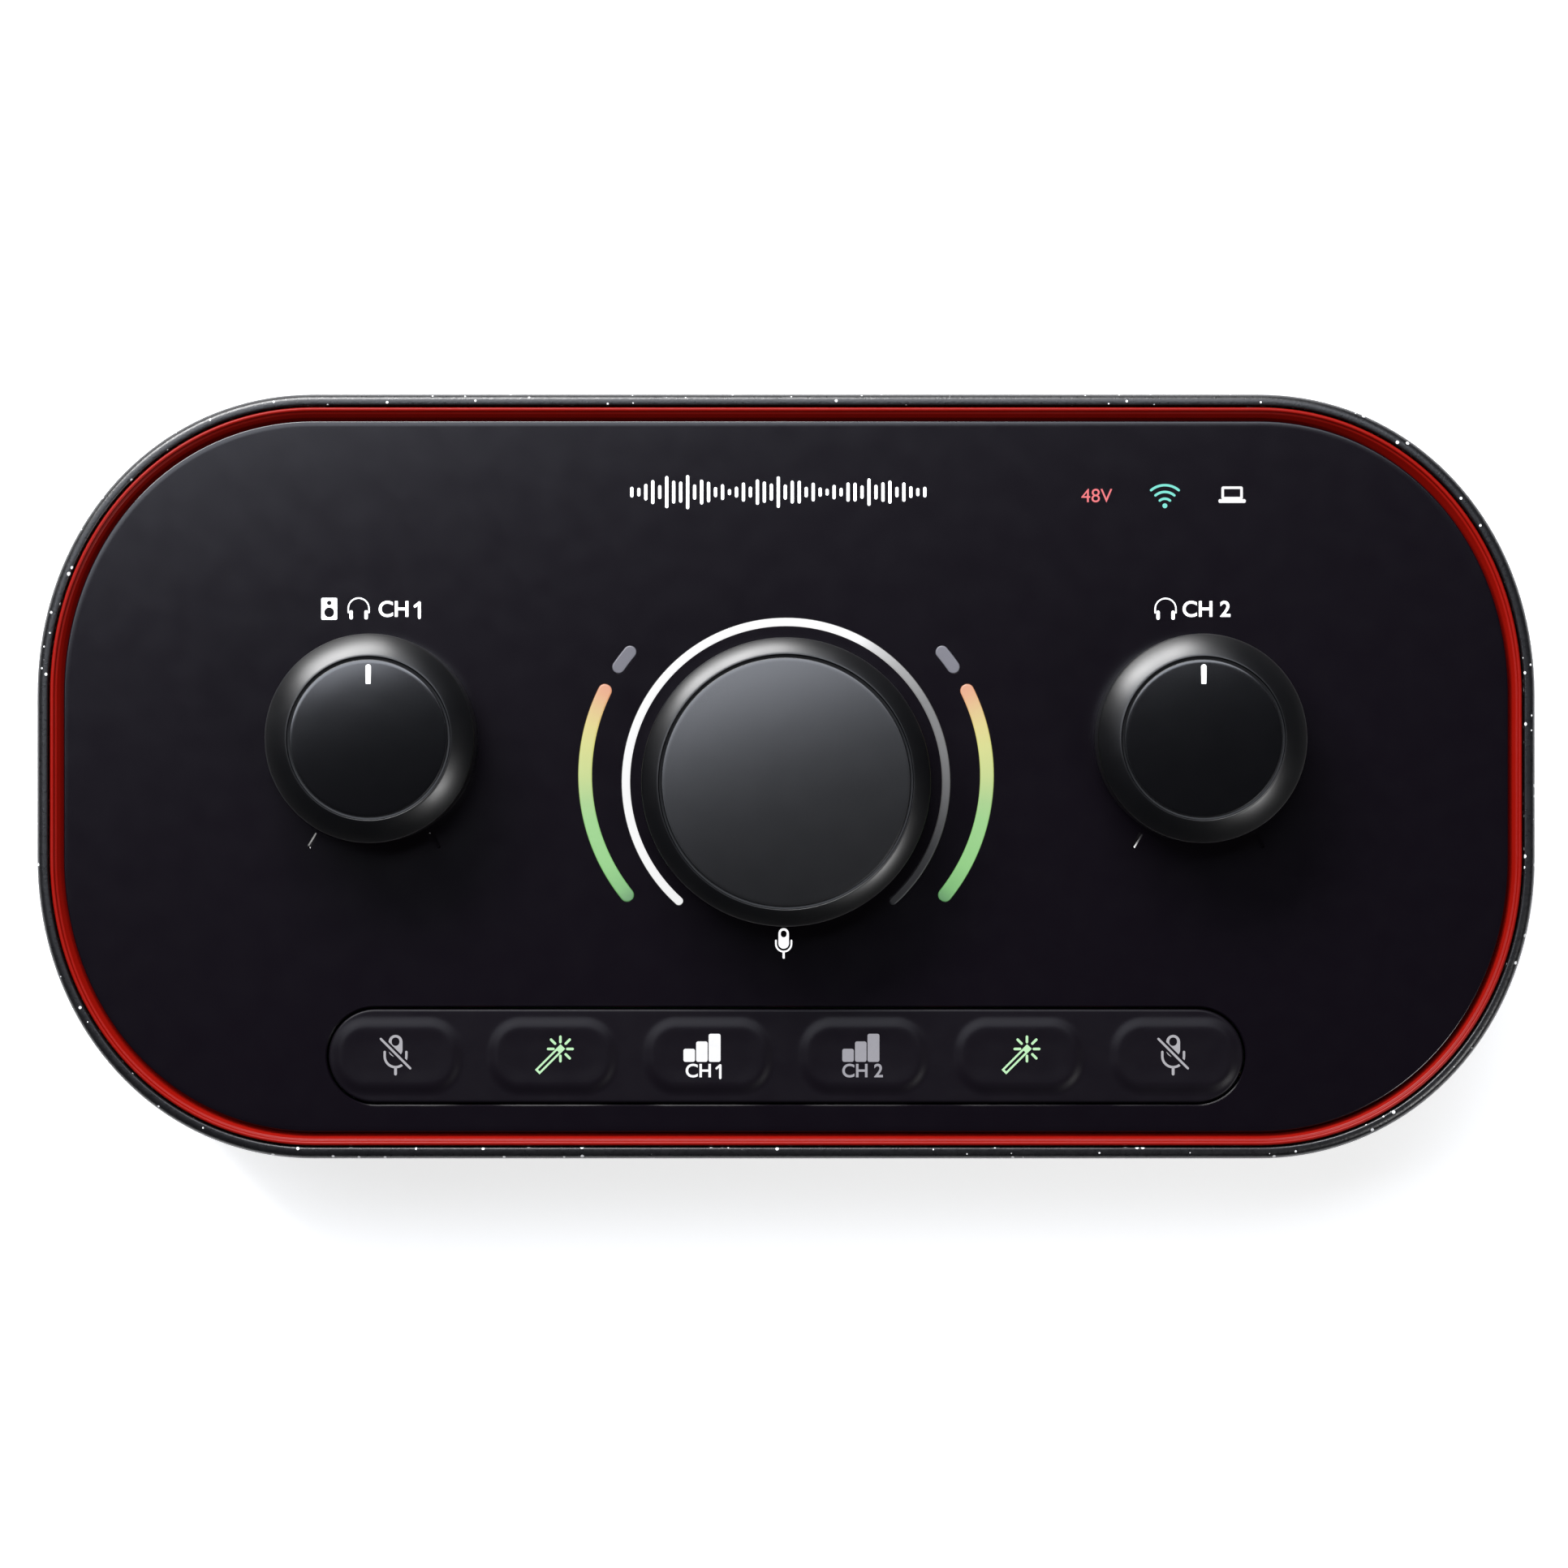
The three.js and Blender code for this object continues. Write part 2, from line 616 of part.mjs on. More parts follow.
function addKeypad(parent) {
  parent.add(node('keypad_membrane', keypadMembrane(), softBlack, 0, KEYPAD_Y));
  keyPlaces().forEach((x, i) => {
    parent.add(node(`key_${i + 1}`, key(), softBlack, x, KEYPAD_Y));
    parent.add(node(`key_switch_${i + 1}`, keySwitch(), switchBlack, x, KEYPAD_Y));
  });
}

function addKnobs(parent) {
  parent.add(node('gain_encoder', shaftHousing(14), switchBlack, 0, GAIN_Y));
  parent.add(node('gain_shaft', shaft(), plainSteel, 0, GAIN_Y));
  parent.add(node('gain_knob', knobCap(21.4, 18.4, 36), knobSatin, 0, GAIN_Y));
  [-LEVEL_X, LEVEL_X].forEach((x, i) => {
    parent.add(node(`level_pot_${i + 1}`, shaftHousing(12), switchBlack, x, LEVEL_Y));
    parent.add(node(`level_shaft_${i + 1}`, shaft(), plainSteel, x, LEVEL_Y));
    parent.add(node(`level_knob_${i + 1}`, levelKnobCap(), knobSatin, x, LEVEL_Y));
  });
}

// A wall's own frame: height 0 is the wall's outer face and +Y points down to the base.
function wallFrame(parent, turn) {
  const heading = new THREE.Group();
  const wall = new THREE.Group();
  heading.rotation.z = turn;
  wall.rotation.x = -Math.PI / 2;
  wall.position.y = DEPTH / 2;
  heading.add(wall);
  parent.add(heading);
  return wall;
}

function addRearWall(parent) {
  const wall = wallFrame(parent, 0);
  const at = (name, geometry, material, x, recess = MOUTH_RECESS) => (
    wall.add(node(name, geometry, material, x, -SOCKET_Z, -recess)));
  wall.add(node('rear_panel', rearPanel(), shellPaint));
  MIC_X.forEach((x, i) => {
    at(`mic_socket_${i + 1}`, micSocket(), socketBlack, x, 0);
    at(`mic_insert_${i + 1}`, micInsert(), socketBlack, x, 0);
    at(`mic_latch_${i + 1}`, micLatch(), plainSteel, x, 0);
  });
  ['left', 'right'].forEach((side, i) => (
    at(`line_out_${side}`, jackSocket(JACK_RADIUS, 3.3, 29, 14, SOCKET_Z, 20), socketBlack, LINE_OUT_X[i])));
  at('camera_socket', jackSocket(MINI_RADIUS, 1.85, 15, 8, SOCKET_Z, 14), socketBlack, CAMERA_X);
  at('phone_socket', jackSocket(MINI_RADIUS, 1.85, 15, 8, SOCKET_Z, 14), socketBlack, PHONE_X);
  at('usb_c_socket', usbSocket(), plainSteel, USB_X);
  at('pairing_button', pushButton(PAIRING_RADIUS), socketBlack, PAIRING_X);
  at('pairing_switch', pushSwitch(PAIRING_TRAVEL), switchBlack, PAIRING_X);
  at('power_button', pushButton(POWER_RADIUS), socketBlack, POWER_X);
  at('power_switch', pushSwitch(POWER_TRAVEL), switchBlack, POWER_X);
}

function addFrontWall(parent) {
  const wall = wallFrame(parent, Math.PI);
  [LEVEL_X, -LEVEL_X].forEach((x, i) => {
    const socket = jackSocket(JACK_RADIUS, 3.3, 29, 14, HEADPHONE_Z, 20);
    wall.add(node(`headphone_socket_${i + 1}`, socket, socketBlack, x, -HEADPHONE_Z, -MOUTH_RECESS));
  });
}

function audioInterface() {
  const product = new THREE.Group();
  addCasing(product);
  addBoards(product);
  addLights(product);
  addKeypad(product);
  addKnobs(product);
  addRearWall(product);
  addFrontWall(product);
  return product;
}

export default audioInterface();
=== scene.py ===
from math import atan2, copysign, cos, degrees, hypot, log, pi, radians, sin, sqrt, tan

import bmesh
import bpy
from mathutils import Matrix, Vector, geometry


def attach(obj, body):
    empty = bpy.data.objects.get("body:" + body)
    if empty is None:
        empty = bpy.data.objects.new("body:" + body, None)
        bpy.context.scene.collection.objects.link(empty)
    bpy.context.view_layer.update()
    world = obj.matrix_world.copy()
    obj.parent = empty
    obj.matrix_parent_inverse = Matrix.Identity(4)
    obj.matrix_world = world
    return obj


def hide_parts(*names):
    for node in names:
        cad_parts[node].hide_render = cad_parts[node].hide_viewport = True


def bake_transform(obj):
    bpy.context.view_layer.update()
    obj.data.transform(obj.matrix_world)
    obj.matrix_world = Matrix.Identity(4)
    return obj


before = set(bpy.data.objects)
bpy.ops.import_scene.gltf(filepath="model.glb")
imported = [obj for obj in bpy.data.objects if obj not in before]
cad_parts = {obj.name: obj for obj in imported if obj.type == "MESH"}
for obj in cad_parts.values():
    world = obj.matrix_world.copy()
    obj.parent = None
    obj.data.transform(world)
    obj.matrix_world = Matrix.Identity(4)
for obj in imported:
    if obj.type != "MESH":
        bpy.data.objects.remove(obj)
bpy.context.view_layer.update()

# A desktop audio interface. Dimensions are in millimetres, as in the CAD part, and place_piece()
# turns them into metres. Materials, lights and the camera are in metres. +Z is up, +Y the rear.

MM = 0.001

# Casing. An inset is measured inwards from the outline of the shell.
WIDTH, DEPTH = 224, 114.3
CORNER_X, CORNER_Y, CORNER_POWER = 41.4, 45.1, 2.05
SHELL_BOTTOM, SHELL_TOP, SHELL_WALL = 3.3, 38, 1.7
BASE_BOTTOM, BASE_TOP = 1.8, 5
LINER_INSET, BEAD_WIDTH, LEDGE_INSET, LEDGE_TOP = 2.0, 0.6, 6.2, 34.9
PANEL_INSET, PANEL_BOTTOM, PANEL_TOP = 4.0, 35.2, 37.2
FOOT_AT, FOOT_RADIUS, SCREW_INSET = (80, 30), 8, 6.5

# Knobs. Radii are (base, disc).
GAIN_Y, LEVEL_X, LEVEL_Y = -0.85, 61.6, 5.6
GAIN_RADII, LEVEL_RADII = (21.4, 18.4), (15.5, 11.65)
KNOB_BOTTOM, KNOB_TOP, SHAFT_TOP = 37.6, 50, 46.4
DOME_RADIUS, SHOULDER_FILLET = 200, 0.4
BUSH_HOLE = 4.6
POINTER_SIZE, POINTER_AT = (0.8, 3.4), 9.2
TICK_AT, TICK_LEAN = 17.66, 31

# Lights round the gain knob. Angles are in degrees, anticlockwise from the right.
HALO_RADIUS, HALO_WIDTH, HALO_ANGLES = 23.95, 1.15, (-48, 228)
METER_RADIUS, METER_WIDTH, METER_SHIFT = 28.6, 1.95, (1.45, 1.0)
METER_ANGLES, CLIP_ANGLES = (-38.7, 26.3), (34.5, 40.1)
GUIDE_BOTTOM, GUIDE_GAP = 27.3, 0.05

# Keypad
KEY_PITCH, KEY_SIZE, KEY_CORNER = 23.25, (19.4, 11.4), 5
KEYPAD_SIZE, KEYPAD_Y, KEYPAD_GAP = (137.4, 14.6), -41.8, 0.3
WEB_BOTTOM, WEB_TOP = 34.2, 37.0

# Walls. A setback is measured inwards from the outer face of the shell.
WINDOW_HALF, WINDOW_BOTTOM, WINDOW_TOP = 69.8, 5.7, 32.3
WINDOW_HEIGHT, WINDOW_MIDDLE = WINDOW_TOP - WINDOW_BOTTOM, (WINDOW_TOP + WINDOW_BOTTOM) / 2
PLATE_SETBACK, SOCKET_SETBACK = 0.45, 0.15
SOCKET_Z, HEADPHONE_Z = 19, 17
MIC_X, LINE_OUT_X = (-55, -28), (40, 24)
CAMERA_X, PHONE_X, PAIRING_X, USB_X, POWER_X = 10, 0, -10, 54, 65

INK_HEIGHT = 0.03


# ---- Outlines: each takes an inset and gives a closed loop of points ----

def quarters(steps, point_at):
    loop = []
    for quarter in range(4):
        side_x = 1 if quarter in (0, 3) else -1
        side_y = 1 if quarter < 2 else -1
        for step in range(steps + 1):
            share = step / steps if quarter % 2 == 0 else 1 - step / steps
            x, y = point_at(share * pi / 2)
            loop.append((side_x * x, side_y * y))
    return loop


def plan_outline(inset, steps=40):
    power = 2 / CORNER_POWER
    return quarters(steps, lambda angle: (
        WIDTH / 2 - CORNER_X + (CORNER_X - inset) * max(cos(angle), 0) ** power,
        DEPTH / 2 - CORNER_Y + (CORNER_Y - inset) * max(sin(angle), 0) ** power))


def rounded_outline(width, height, radius, steps=10):
    return lambda inset: quarters(steps, lambda angle: (
        width / 2 - radius + (radius - inset) * cos(angle),
        height / 2 - radius + (radius - inset) * sin(angle)))


def circle_outline(radius, steps=16):
    return rounded_outline(2 * radius, 2 * radius, radius, steps)


def polar(radius, angle, centre=(0, 0)):
    turn = radians(angle)
    return centre[0] + radius * cos(turn), centre[1] + radius * sin(turn)


def arc(radius, start, end, steps, centre=(0, 0)):
    return [polar(radius, start + (end - start) * i / steps, centre) for i in range(steps + 1)]


def band_outline(radius, width, angles, steps):
    start, end = angles

    def outline(inset):
        half = width / 2 - inset
        end_centre, start_centre = arc(radius, end, start, 1)
        return (arc(radius + half, start, end, steps)
                + arc(half, end, end + 180, 12, end_centre)[1:-1]
                + arc(radius - half, end, start, steps)
                + arc(half, start + 180, start + 360, 12, start_centre)[1:-1])
    return outline


def meter_outline(side, angles, steps, margin=0):
    turned_angles = angles if side > 0 else (180 - angles[1], 180 - angles[0])
    outline = band_outline(METER_RADIUS, METER_WIDTH + 2 * margin, turned_angles, steps)
    x, y = side * METER_SHIFT[0], GAIN_Y + METER_SHIFT[1]
    return lambda inset: [(x + px, y + py) for px, py in outline(inset)]


def halo_outline(margin=0):
    outline = band_outline(HALO_RADIUS, HALO_WIDTH + 2 * margin, HALO_ANGLES, 120)
    return lambda inset: [(px, py + GAIN_Y) for px, py in outline(inset)]


# ---- Solids: each is (points, faces), in millimetres ----

def rounded(corners, steps=5, closed=False):
    """A path through [a, b] or [a, b, radius] corners, with an arc for each radius."""
    path = []
    for i, corner in enumerate(corners):
        here = Vector(corner[:2])
        is_end = not closed and i in (0, len(corners) - 1)
        if len(corner) < 3 or is_end:
            path.append(tuple(here))
            continue
        before = (Vector(corners[i - 1][:2]) - here).normalized()
        after = (Vector(corners[(i + 1) % len(corners)][:2]) - here).normalized()
        half = before.angle(after) / 2
        centre = here + (before + after).normalized() * corner[2] / sin(half)
        start = here + before * corner[2] / tan(half) - centre
        end = here + after * corner[2] / tan(half) - centre
        for step in range(steps + 1):
            path.append(tuple(centre + start.slerp(end, step / steps) * corner[2]))
    return path


def skinned(loops, is_ring=False):
    """Joins each loop to the next. A solid has flat ends; a ring closes."""
    count = len(loops[0])
    faces = []
    for layer in range(len(loops) if is_ring else len(loops) - 1):
        here, above = layer * count, (layer + 1) % len(loops) * count
        for i in range(count):
            n = (i + 1) % count
            faces.append((here + i, here + n, above + n, above + i))
    if not is_ring:
        top = (len(loops) - 1) * count
        faces.append(tuple(reversed(range(count))))
        faces.append(tuple(range(top, top + count)))
    return [p for loop in loops for p in loop], faces


def loft(outline_at, layers, is_ring=False):
    """Skins [inset, height] layers of one outline."""
    return skinned([[(x, y, z) for x, y in outline_at(inset)] for inset, z in layers], is_ring)


def lathe(profile, segments=96):
    """Turns [radius, height] points about Z. A radius of 0 is a pole."""
    points, rings, faces = [], [], []
    for radius, z in profile:
        if radius < 1e-6:
            rings.append([len(points)] * segments)
            points.append((0, 0, z))
        else:
            start = len(points)
            turns = [2 * pi * i / segments for i in range(segments)]
            points += [(radius * cos(t), radius * sin(t), z) for t in turns]
            rings.append(list(range(start, start + segments)))
    closed = profile[0][0] > 1e-6
    for k in range(len(rings) if closed else len(rings) - 1):
        low, high = rings[k], rings[(k + 1) % len(rings)]
        for i in range(segments):
            n = (i + 1) % segments
            face = tuple(dict.fromkeys((low[i], low[n], high[n], high[i])))
            if len(face) > 2:
                faces.append(face)
    return points, faces


def prism(loops, bottom, top):
    """A flat-ended solid over one outer loop and any number of hole loops."""
    triangles = geometry.tessellate_polygon([[Vector((x, y, 0)) for x, y in l] for l in loops])
    flat = [p for loop in loops for p in loop]
    count = len(flat)
    points = [(x, y, bottom) for x, y in flat] + [(x, y, top) for x, y in flat]
    faces = [tuple(t) for t in triangles] + [tuple(i + count for i in t) for t in triangles]
    start = 0
    for loop in loops:
        for i in range(len(loop)):
            a, b = start + i, start + (i + 1) % len(loop)
            faces.append((a, b, b + count, a + count))
        start += len(loop)
    return points, faces


def slab(low, high):
    (x0, y0, z0), (x1, y1, z1) = low, high
    return prism([[(x0, y0), (x1, y0), (x1, y1), (x0, y1)]], z0, z1)


def combined(*solids):
    points, faces = [], []
    for solid_points, solid_faces in solids:
        start = len(points)
        points += solid_points
        faces += [tuple(i + start for i in face) for face in solid_faces]
    return points, faces


def moved(solid, x=0, y=0, z=0, turn=0):
    matrix = Matrix.Translation((x, y, z)) @ Matrix.Rotation(radians(turn), 4, "Z")
    return [tuple(matrix @ Vector(p)) for p in solid[0]], solid[1]


def clean_mesh(name, solid, scale=1.0):
    mesh = bpy.data.meshes.new(name)
    mesh.from_pydata([Vector(p) * scale for p in solid[0]], [], solid[1])
    work = bmesh.new()
    work.from_mesh(mesh)
    bmesh.ops.remove_doubles(work, verts=work.verts, dist=1e-4 * scale)
    bmesh.ops.recalc_face_normals(work, faces=work.faces)
    work.to_mesh(mesh)
    work.free()
    return mesh


def linked(name, data):
    """A new object in the scene."""
    obj = bpy.data.objects.new(name, data)
    bpy.context.scene.collection.objects.link(obj)
    return obj


def boolean(base, tool, operation="DIFFERENCE"):
    objects = [linked("boolean", clean_mesh("boolean", s)) for s in (base, tool)]
    modifier = objects[0].modifiers.new("boolean", "BOOLEAN")
    modifier.object = objects[1]
    modifier.operation = operation
    modifier.solver = "EXACT"
    evaluated = objects[0].evaluated_get(bpy.context.evaluated_depsgraph_get())
    mesh = bpy.data.meshes.new_from_object(evaluated)
    result = [tuple(v.co) for v in mesh.vertices], [tuple(p.vertices) for p in mesh.polygons]
    for obj in objects:
        data = obj.data
        bpy.data.objects.remove(obj)
        bpy.data.meshes.remove(data)
    bpy.data.meshes.remove(mesh)
    return result


# ---- Pieces ----

ON_DESK = Matrix.Identity(4)
# A wall's own frame: x to the right for a person facing it, y up, z outwards from its face.
REAR_WALL = Matrix(((-1, 0, 0, 0), (0, 0, 1, DEPTH / 2), (0, 1, 0, 0), (0, 0, 0, 1)))
FRONT_WALL = Matrix(((1, 0, 0, 0), (0, 0, -1, -DEPTH / 2), (0, 1, 0, 0), (0, 0, 0, 1)))


def on_wall(wall, solid, x=0, y=0):
    """A solid given in a wall's own frame, in the frame of the whole."""
    return [tuple(wall @ Vector(p)) for p in moved(solid, x, y)[0]], solid[1]


def place_piece(name, solid, material, slot, body="casing", wall=ON_DESK, replaced=(), sharp=32):
    mesh = clean_mesh(name, ([wall @ Vector(p) for p in solid[0]], solid[1]), MM)
    mesh.shade_smooth()
    mesh.set_sharp_from_angle(angle=radians(sharp))
    mesh.materials.append(material)
    piece = linked(name, mesh)
    if body:
        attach(piece, body)
    if replaced:
        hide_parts(*replaced)
    return piece


def replace_node(node, solid, material, slot, body="casing", wall=ON_DESK, sharp=32):
    return place_piece(f"{node}_visual", solid, material, slot, body, wall, [node], sharp)


def place_sign(name, solid, material, slot="light_guide", body="casing", wall=ON_DESK):
    place_piece(name, solid, material, slot, body, wall, sharp=60)


# ---- Materials ----

class Surface:
    """A Principled material in the making. Sockets are linked, plain values are set, and
    bump() comes last and returns the material."""

    def __init__(self, name, **values):
        self.material = bpy.data.materials.new(name)
        self.material.use_nodes = True
        self.tree = self.material.node_tree
        self.shader = self.tree.nodes["Principled BSDF"]
        self.place = self.add("TexCoord").outputs["Object"]
        self.set(**values)

    def set(self, **values):
        for name, value in values.items():
            self.feed(self.shader.inputs[name.replace("_", " ")], value)

    def feed(self, socket, value):
        if isinstance(value, bpy.types.NodeSocket):
            self.tree.links.new(value, socket)
        elif socket.type == "RGBA" and len(value) == 3:
            socket.default_value = (*value, 1)
        else:
            socket.default_value = value

    def add(self, kind, inputs=None, **settings):
        node = self.tree.nodes.new("ShaderNode" + kind)
        for key, value in settings.items():
            setattr(node, key, value)
        for key, value in (inputs or {}).items():
            self.feed(node.inputs[key], value)
        return node

    def noise(self, scale, detail=3.0, rough=0.5, stretch=None):
        place = self.place
        if stretch:
            mapping = self.add("Mapping", {"Vector": place, "Scale": stretch})
            place = mapping.outputs["Vector"]
        node = self.add("TexNoise", {
            "Vector": place, "Scale": scale, "Detail": detail, "Roughness": rough})
        return node.outputs["Fac"]

    def ranged(self, value, low, high, to_low=0.0, to_high=1.0):
        node = self.add("MapRange", {
            "Value": value, "From Min": low, "From Max": high,
            "To Min": to_low, "To Max": to_high})
        return node.outputs["Result"]

    def mix(self, factor, first, second):
        node = self.add("Mix", data_type="RGBA")
        self.feed(node.inputs[0], factor)
        self.feed(node.inputs[6], first)
        self.feed(node.inputs[7], second)
        return node.outputs[2]

    def math(self, operation, first, second=0.0):
        node = self.add("Math", {0: first, 1: second}, operation=operation)
        return node.outputs[0]

    def ramp(self, value, stops):
        node = self.add("ValToRGB", {"Fac": value})
        elements = node.color_ramp.elements
        while len(elements) < len(stops):
            elements.new(0.5)
        for element, (position, color) in zip(elements, stops):
            element.position = position
            element.color = (*color, 1)
        return node.outputs["Color"]

    def bump(self, height, depth, strength=1.0):
        node = self.add("Bump", {"Height": height, "Distance": depth, "Strength": strength})
        self.tree.links.new(node.outputs["Normal"], self.shader.inputs["Normal"])
        return self.material


def linear(red, green, blue):
    """A display colour of 0 to 255 as scene-linear values."""
    return tuple((c / 255 / 12.92) if c < 10.3 else ((c / 255 + 0.055) / 1.055) ** 2.4
                 for c in (red, green, blue))


def grained(name, color, spread, roughness, grain, depth, specular=0.5, **values):
    """Moulded or painted plastic: slight colour clouding, roughness variation and fine grain."""
    surface = Surface(name, Specular_IOR_Level=specular, **values)
    cloud = surface.noise(55, 4)
    lighter = tuple(min(1, c * (1 + spread)) for c in color)
    darker = tuple(c * (1 - spread) for c in color)
    surface.set(Base_Color=surface.mix(cloud, darker, lighter),
                Roughness=surface.ranged(surface.noise(240, 3), 0.3, 0.7, *roughness))
    return surface.bump(surface.noise(grain, 2, 0.6), depth)


def speckled_shell():
    """Charcoal with a pale speck of its own size and tone in about half of the cells."""
    surface = Surface("speckled_shell", Specular_IOR_Level=0.42)
    cells = surface.add("TexVoronoi", {"Vector": surface.place, "Scale": 760.0})
    parts = surface.add("SeparateColor", {"Color": cells.outputs["Color"]})
    size = surface.ranged(parts.outputs["Green"], 0, 1, 0.08, 0.22)
    is_near = surface.math("LESS_THAN", cells.outputs["Distance"], size)
    is_chosen = surface.math("GREATER_THAN", parts.outputs["Red"], 0.4)
    speck = surface.math("MULTIPLY", is_near, is_chosen)
    tone = surface.ranged(parts.outputs["Blue"], 0, 1, 0.04, 0.85)
    tone_color = surface.add("CombineColor", {"Red": tone, "Green": tone, "Blue": tone})
    ground = surface.mix(surface.noise(600, 4), (0.003, 0.003, 0.0036), (0.008, 0.008, 0.009))
    surface.set(
        Base_Color=surface.mix(speck, ground, tone_color.outputs["Color"]),
        Roughness=surface.ranged(surface.noise(1500, 2), 0.3, 0.7, 0.26, 0.34))
    return surface.bump(surface.noise(2600, 3, 0.6), 0.00006, 0.5)


def lit_along(surface, angle, low, high, colors):
    """Light whose colour goes by the angle, in degrees, round the gain knob."""
    reach = surface.ranged(angle, radians(low), radians(high))
    stops = [((at - low) / (high - low), linear(*color)) for at, color in colors]
    surface.set(Emission_Color=surface.ramp(reach, stops), Emission_Strength=1.0)
    return surface.bump(surface.noise(900, 2), 0.00002)


def halo_surface():
    """White light that fades out clockwise past the top, as the gain reading falls short."""
    surface = Surface("halo_light", Roughness=0.35, Base_Color=(0.02, 0.02, 0.022))
    axes = surface.add("SeparateXYZ", {"Vector": surface.place})
    forward = surface.math("ADD", axes.outputs["Y"], -GAIN_Y * MM)
    angle = surface.math("ARCTAN2", axes.outputs["X"], forward)
    levels = [(-140, 235), (-112, 242), (-96, 240), (-40, 246), (26, 250), (34, 205),
              (44, 165), (60, 122), (76, 112), (92, 92), (104, 62), (114, 37),
              (124, 22), (140, 12)]
    return lit_along(surface, angle, -140, 140, [(at, (v, v, v)) for at, v in levels])


def meter_surface():
    """Green to amber along the meter's arc, the same on both sides of the gain knob."""
    surface = Surface("meter_light", Roughness=0.4, Base_Color=(0.03, 0.035, 0.03))
    axes = surface.add("SeparateXYZ", {"Vector": surface.place})
    across = surface.math("SUBTRACT", surface.math("ABSOLUTE", axes.outputs["X"]),
                          METER_SHIFT[0] * MM)
    forward = surface.math("SUBTRACT", axes.outputs["Y"], (GAIN_Y + METER_SHIFT[1]) * MM)
    angle = surface.math("ARCTAN2", forward, across)
    return lit_along(surface, angle, METER_ANGLES[0] - 2, METER_ANGLES[1] + 2, [
        (-40, (84, 140, 84)), (-36, (112, 176, 102)), (-28, (132, 194, 116)),
        (-14, (142, 198, 122)), (-8, (156, 196, 124)), (0, (188, 203, 124)),
        (9, (206, 206, 122)), (15, (216, 200, 122)), (20, (218, 184, 122)),
        (25, (224, 160, 118)), (28, (222, 150, 116))])


def glow(name, color, strength=1.0):
    """A lit symbol: even light with the faint mottle of a diffuser behind it."""
    surface = Surface(name, Roughness=0.5, Base_Color=(0.02, 0.02, 0.02))
    mottle = surface.noise(1800, 2)
    dimmer = tuple(c * 0.9 for c in color)
    surface.set(Emission_Color=surface.mix(mottle, dimmer, color), Emission_Strength=strength)
    return surface.material


def circuit_board_surface():
    surface = Surface("circuit_board", Roughness=0.42, Coat_Weight=0.3, Coat_Roughness=0.2)
    bricks = surface.add("TexBrick", {
        "Vector": surface.place, "Color1": (0.008, 0.07, 0.03, 1),
        "Color2": (0.012, 0.09, 0.04, 1), "Mortar": (0.02, 0.15, 0.06, 1), "Scale": 220.0,
        "Mortar Size": 0.012, "Brick Width": 1.7, "Row Height": 0.35})
    pads = surface.add("TexVoronoi", {"Vector": surface.place, "Scale": 230.0})
    is_pad = surface.math("LESS_THAN", pads.outputs["Distance"], 0.12)
    surface.set(Base_Color=surface.mix(is_pad, bricks.outputs["Color"], (0.55, 0.42, 0.16)),
                Metallic=is_pad)
    return surface.bump(bricks.outputs["Fac"], 0.00004)


def brushed(name, color, roughness, metal=1.0):
    surface = Surface(name, Metallic=metal)
    lines = surface.noise(900, 3, 0.6, (1, 1, 0.06))
    surface.set(
        Base_Color=surface.mix(surface.noise(90, 3), tuple(c * 0.82 for c in color), color),
        Roughness=surface.ranged(lines, 0.3, 0.7, *roughness))
    return surface.bump(lines, 0.00001, 0.4)


SHELL = speckled_shell()
BASE = grained("base_plastic", (0.016, 0.016, 0.018), 0.18, (0.55, 0.72), 1900, 0.00005)
RED = grained("liner_red", (0.17, 0.0032, 0.0014), 0.06, (0.30, 0.40), 2400, 1e-5, 0.12)
PANEL = grained("panel_black", (0.0022, 0.0014, 0.0028), 0.05, (0.16, 0.18), 3200, 1e-6, 0.42)
KNOB = grained("knob_disc", (0.0012, 0.0012, 0.0016), 0.05, (0.14, 0.15), 3600, 4e-7, 1.0)
GAIN_KNOB = grained("gain_knob_disc", (0.0025, 0.0025, 0.003), 0.05, (0.262, 0.272), 3600, 4e-7,
                    1.0)
KNOB_SIDE = grained("knob_side", (0.0012, 0.0012, 0.0016), 0.05, (0.31, 0.34), 3600, 1e-6, 0.4)
KEYPAD = grained("soft_keypad", (0.0035, 0.0027, 0.0042), 0.08, (0.30, 0.36), 2800, 4e-6, 0.09)
HALO = halo_surface()
METER = meter_surface()
CLIP = grained("clip_light", linear(84, 83, 89), 0.05, (0.4, 0.5), 1200, 0.00001)
GUIDE = grained("light_guide", (0.6, 0.62, 0.62), 0.05, (0.2, 0.35), 1500, 0.00001,
                Transmission_Weight=0.5)
BOARD = circuit_board_surface()
SWITCH = grained("switch_body", (0.014, 0.014, 0.015), 0.2, (0.45, 0.6), 1500, 0.00003)
SOCKET = grained("socket_plastic", (0.010, 0.010, 0.011), 0.2, (0.42, 0.55), 2400, 0.00003)
BUTTON = grained("button_plastic", (0.014, 0.014, 0.015), 0.15, (0.35, 0.45), 2400, 0.00001)
STEEL = brushed("steel", (0.62, 0.61, 0.59), (0.22, 0.38))
CONTACT = brushed("contact_metal", (0.72, 0.60, 0.34), (0.2, 0.35))
RUBBER = grained("foot_rubber", (0.006, 0.006, 0.006), 0.25, (0.75, 0.9), 1400, 0.00008)
# White print with a glow of its own: painted light that keeps it white where the knobs' shadows
# fall on it.
PAINTED_GLOW_PRINT = grained("white_print_painted_glow", (0.78, 0.78, 0.79), 0.03, (0.5, 0.6), 2600, 0.000004,
                Emission_Color=(1, 1, 1, 1), Emission_Strength=0.75)
LIT_WHITE = glow("lit_white", linear(250, 250, 252))
LIT_GREY = glow("lit_grey", linear(168, 166, 172))
LIT_BAR_GREY = glow("lit_bar_grey", linear(150, 148, 156))
LIT_GREEN = glow("lit_green", linear(188, 240, 184))
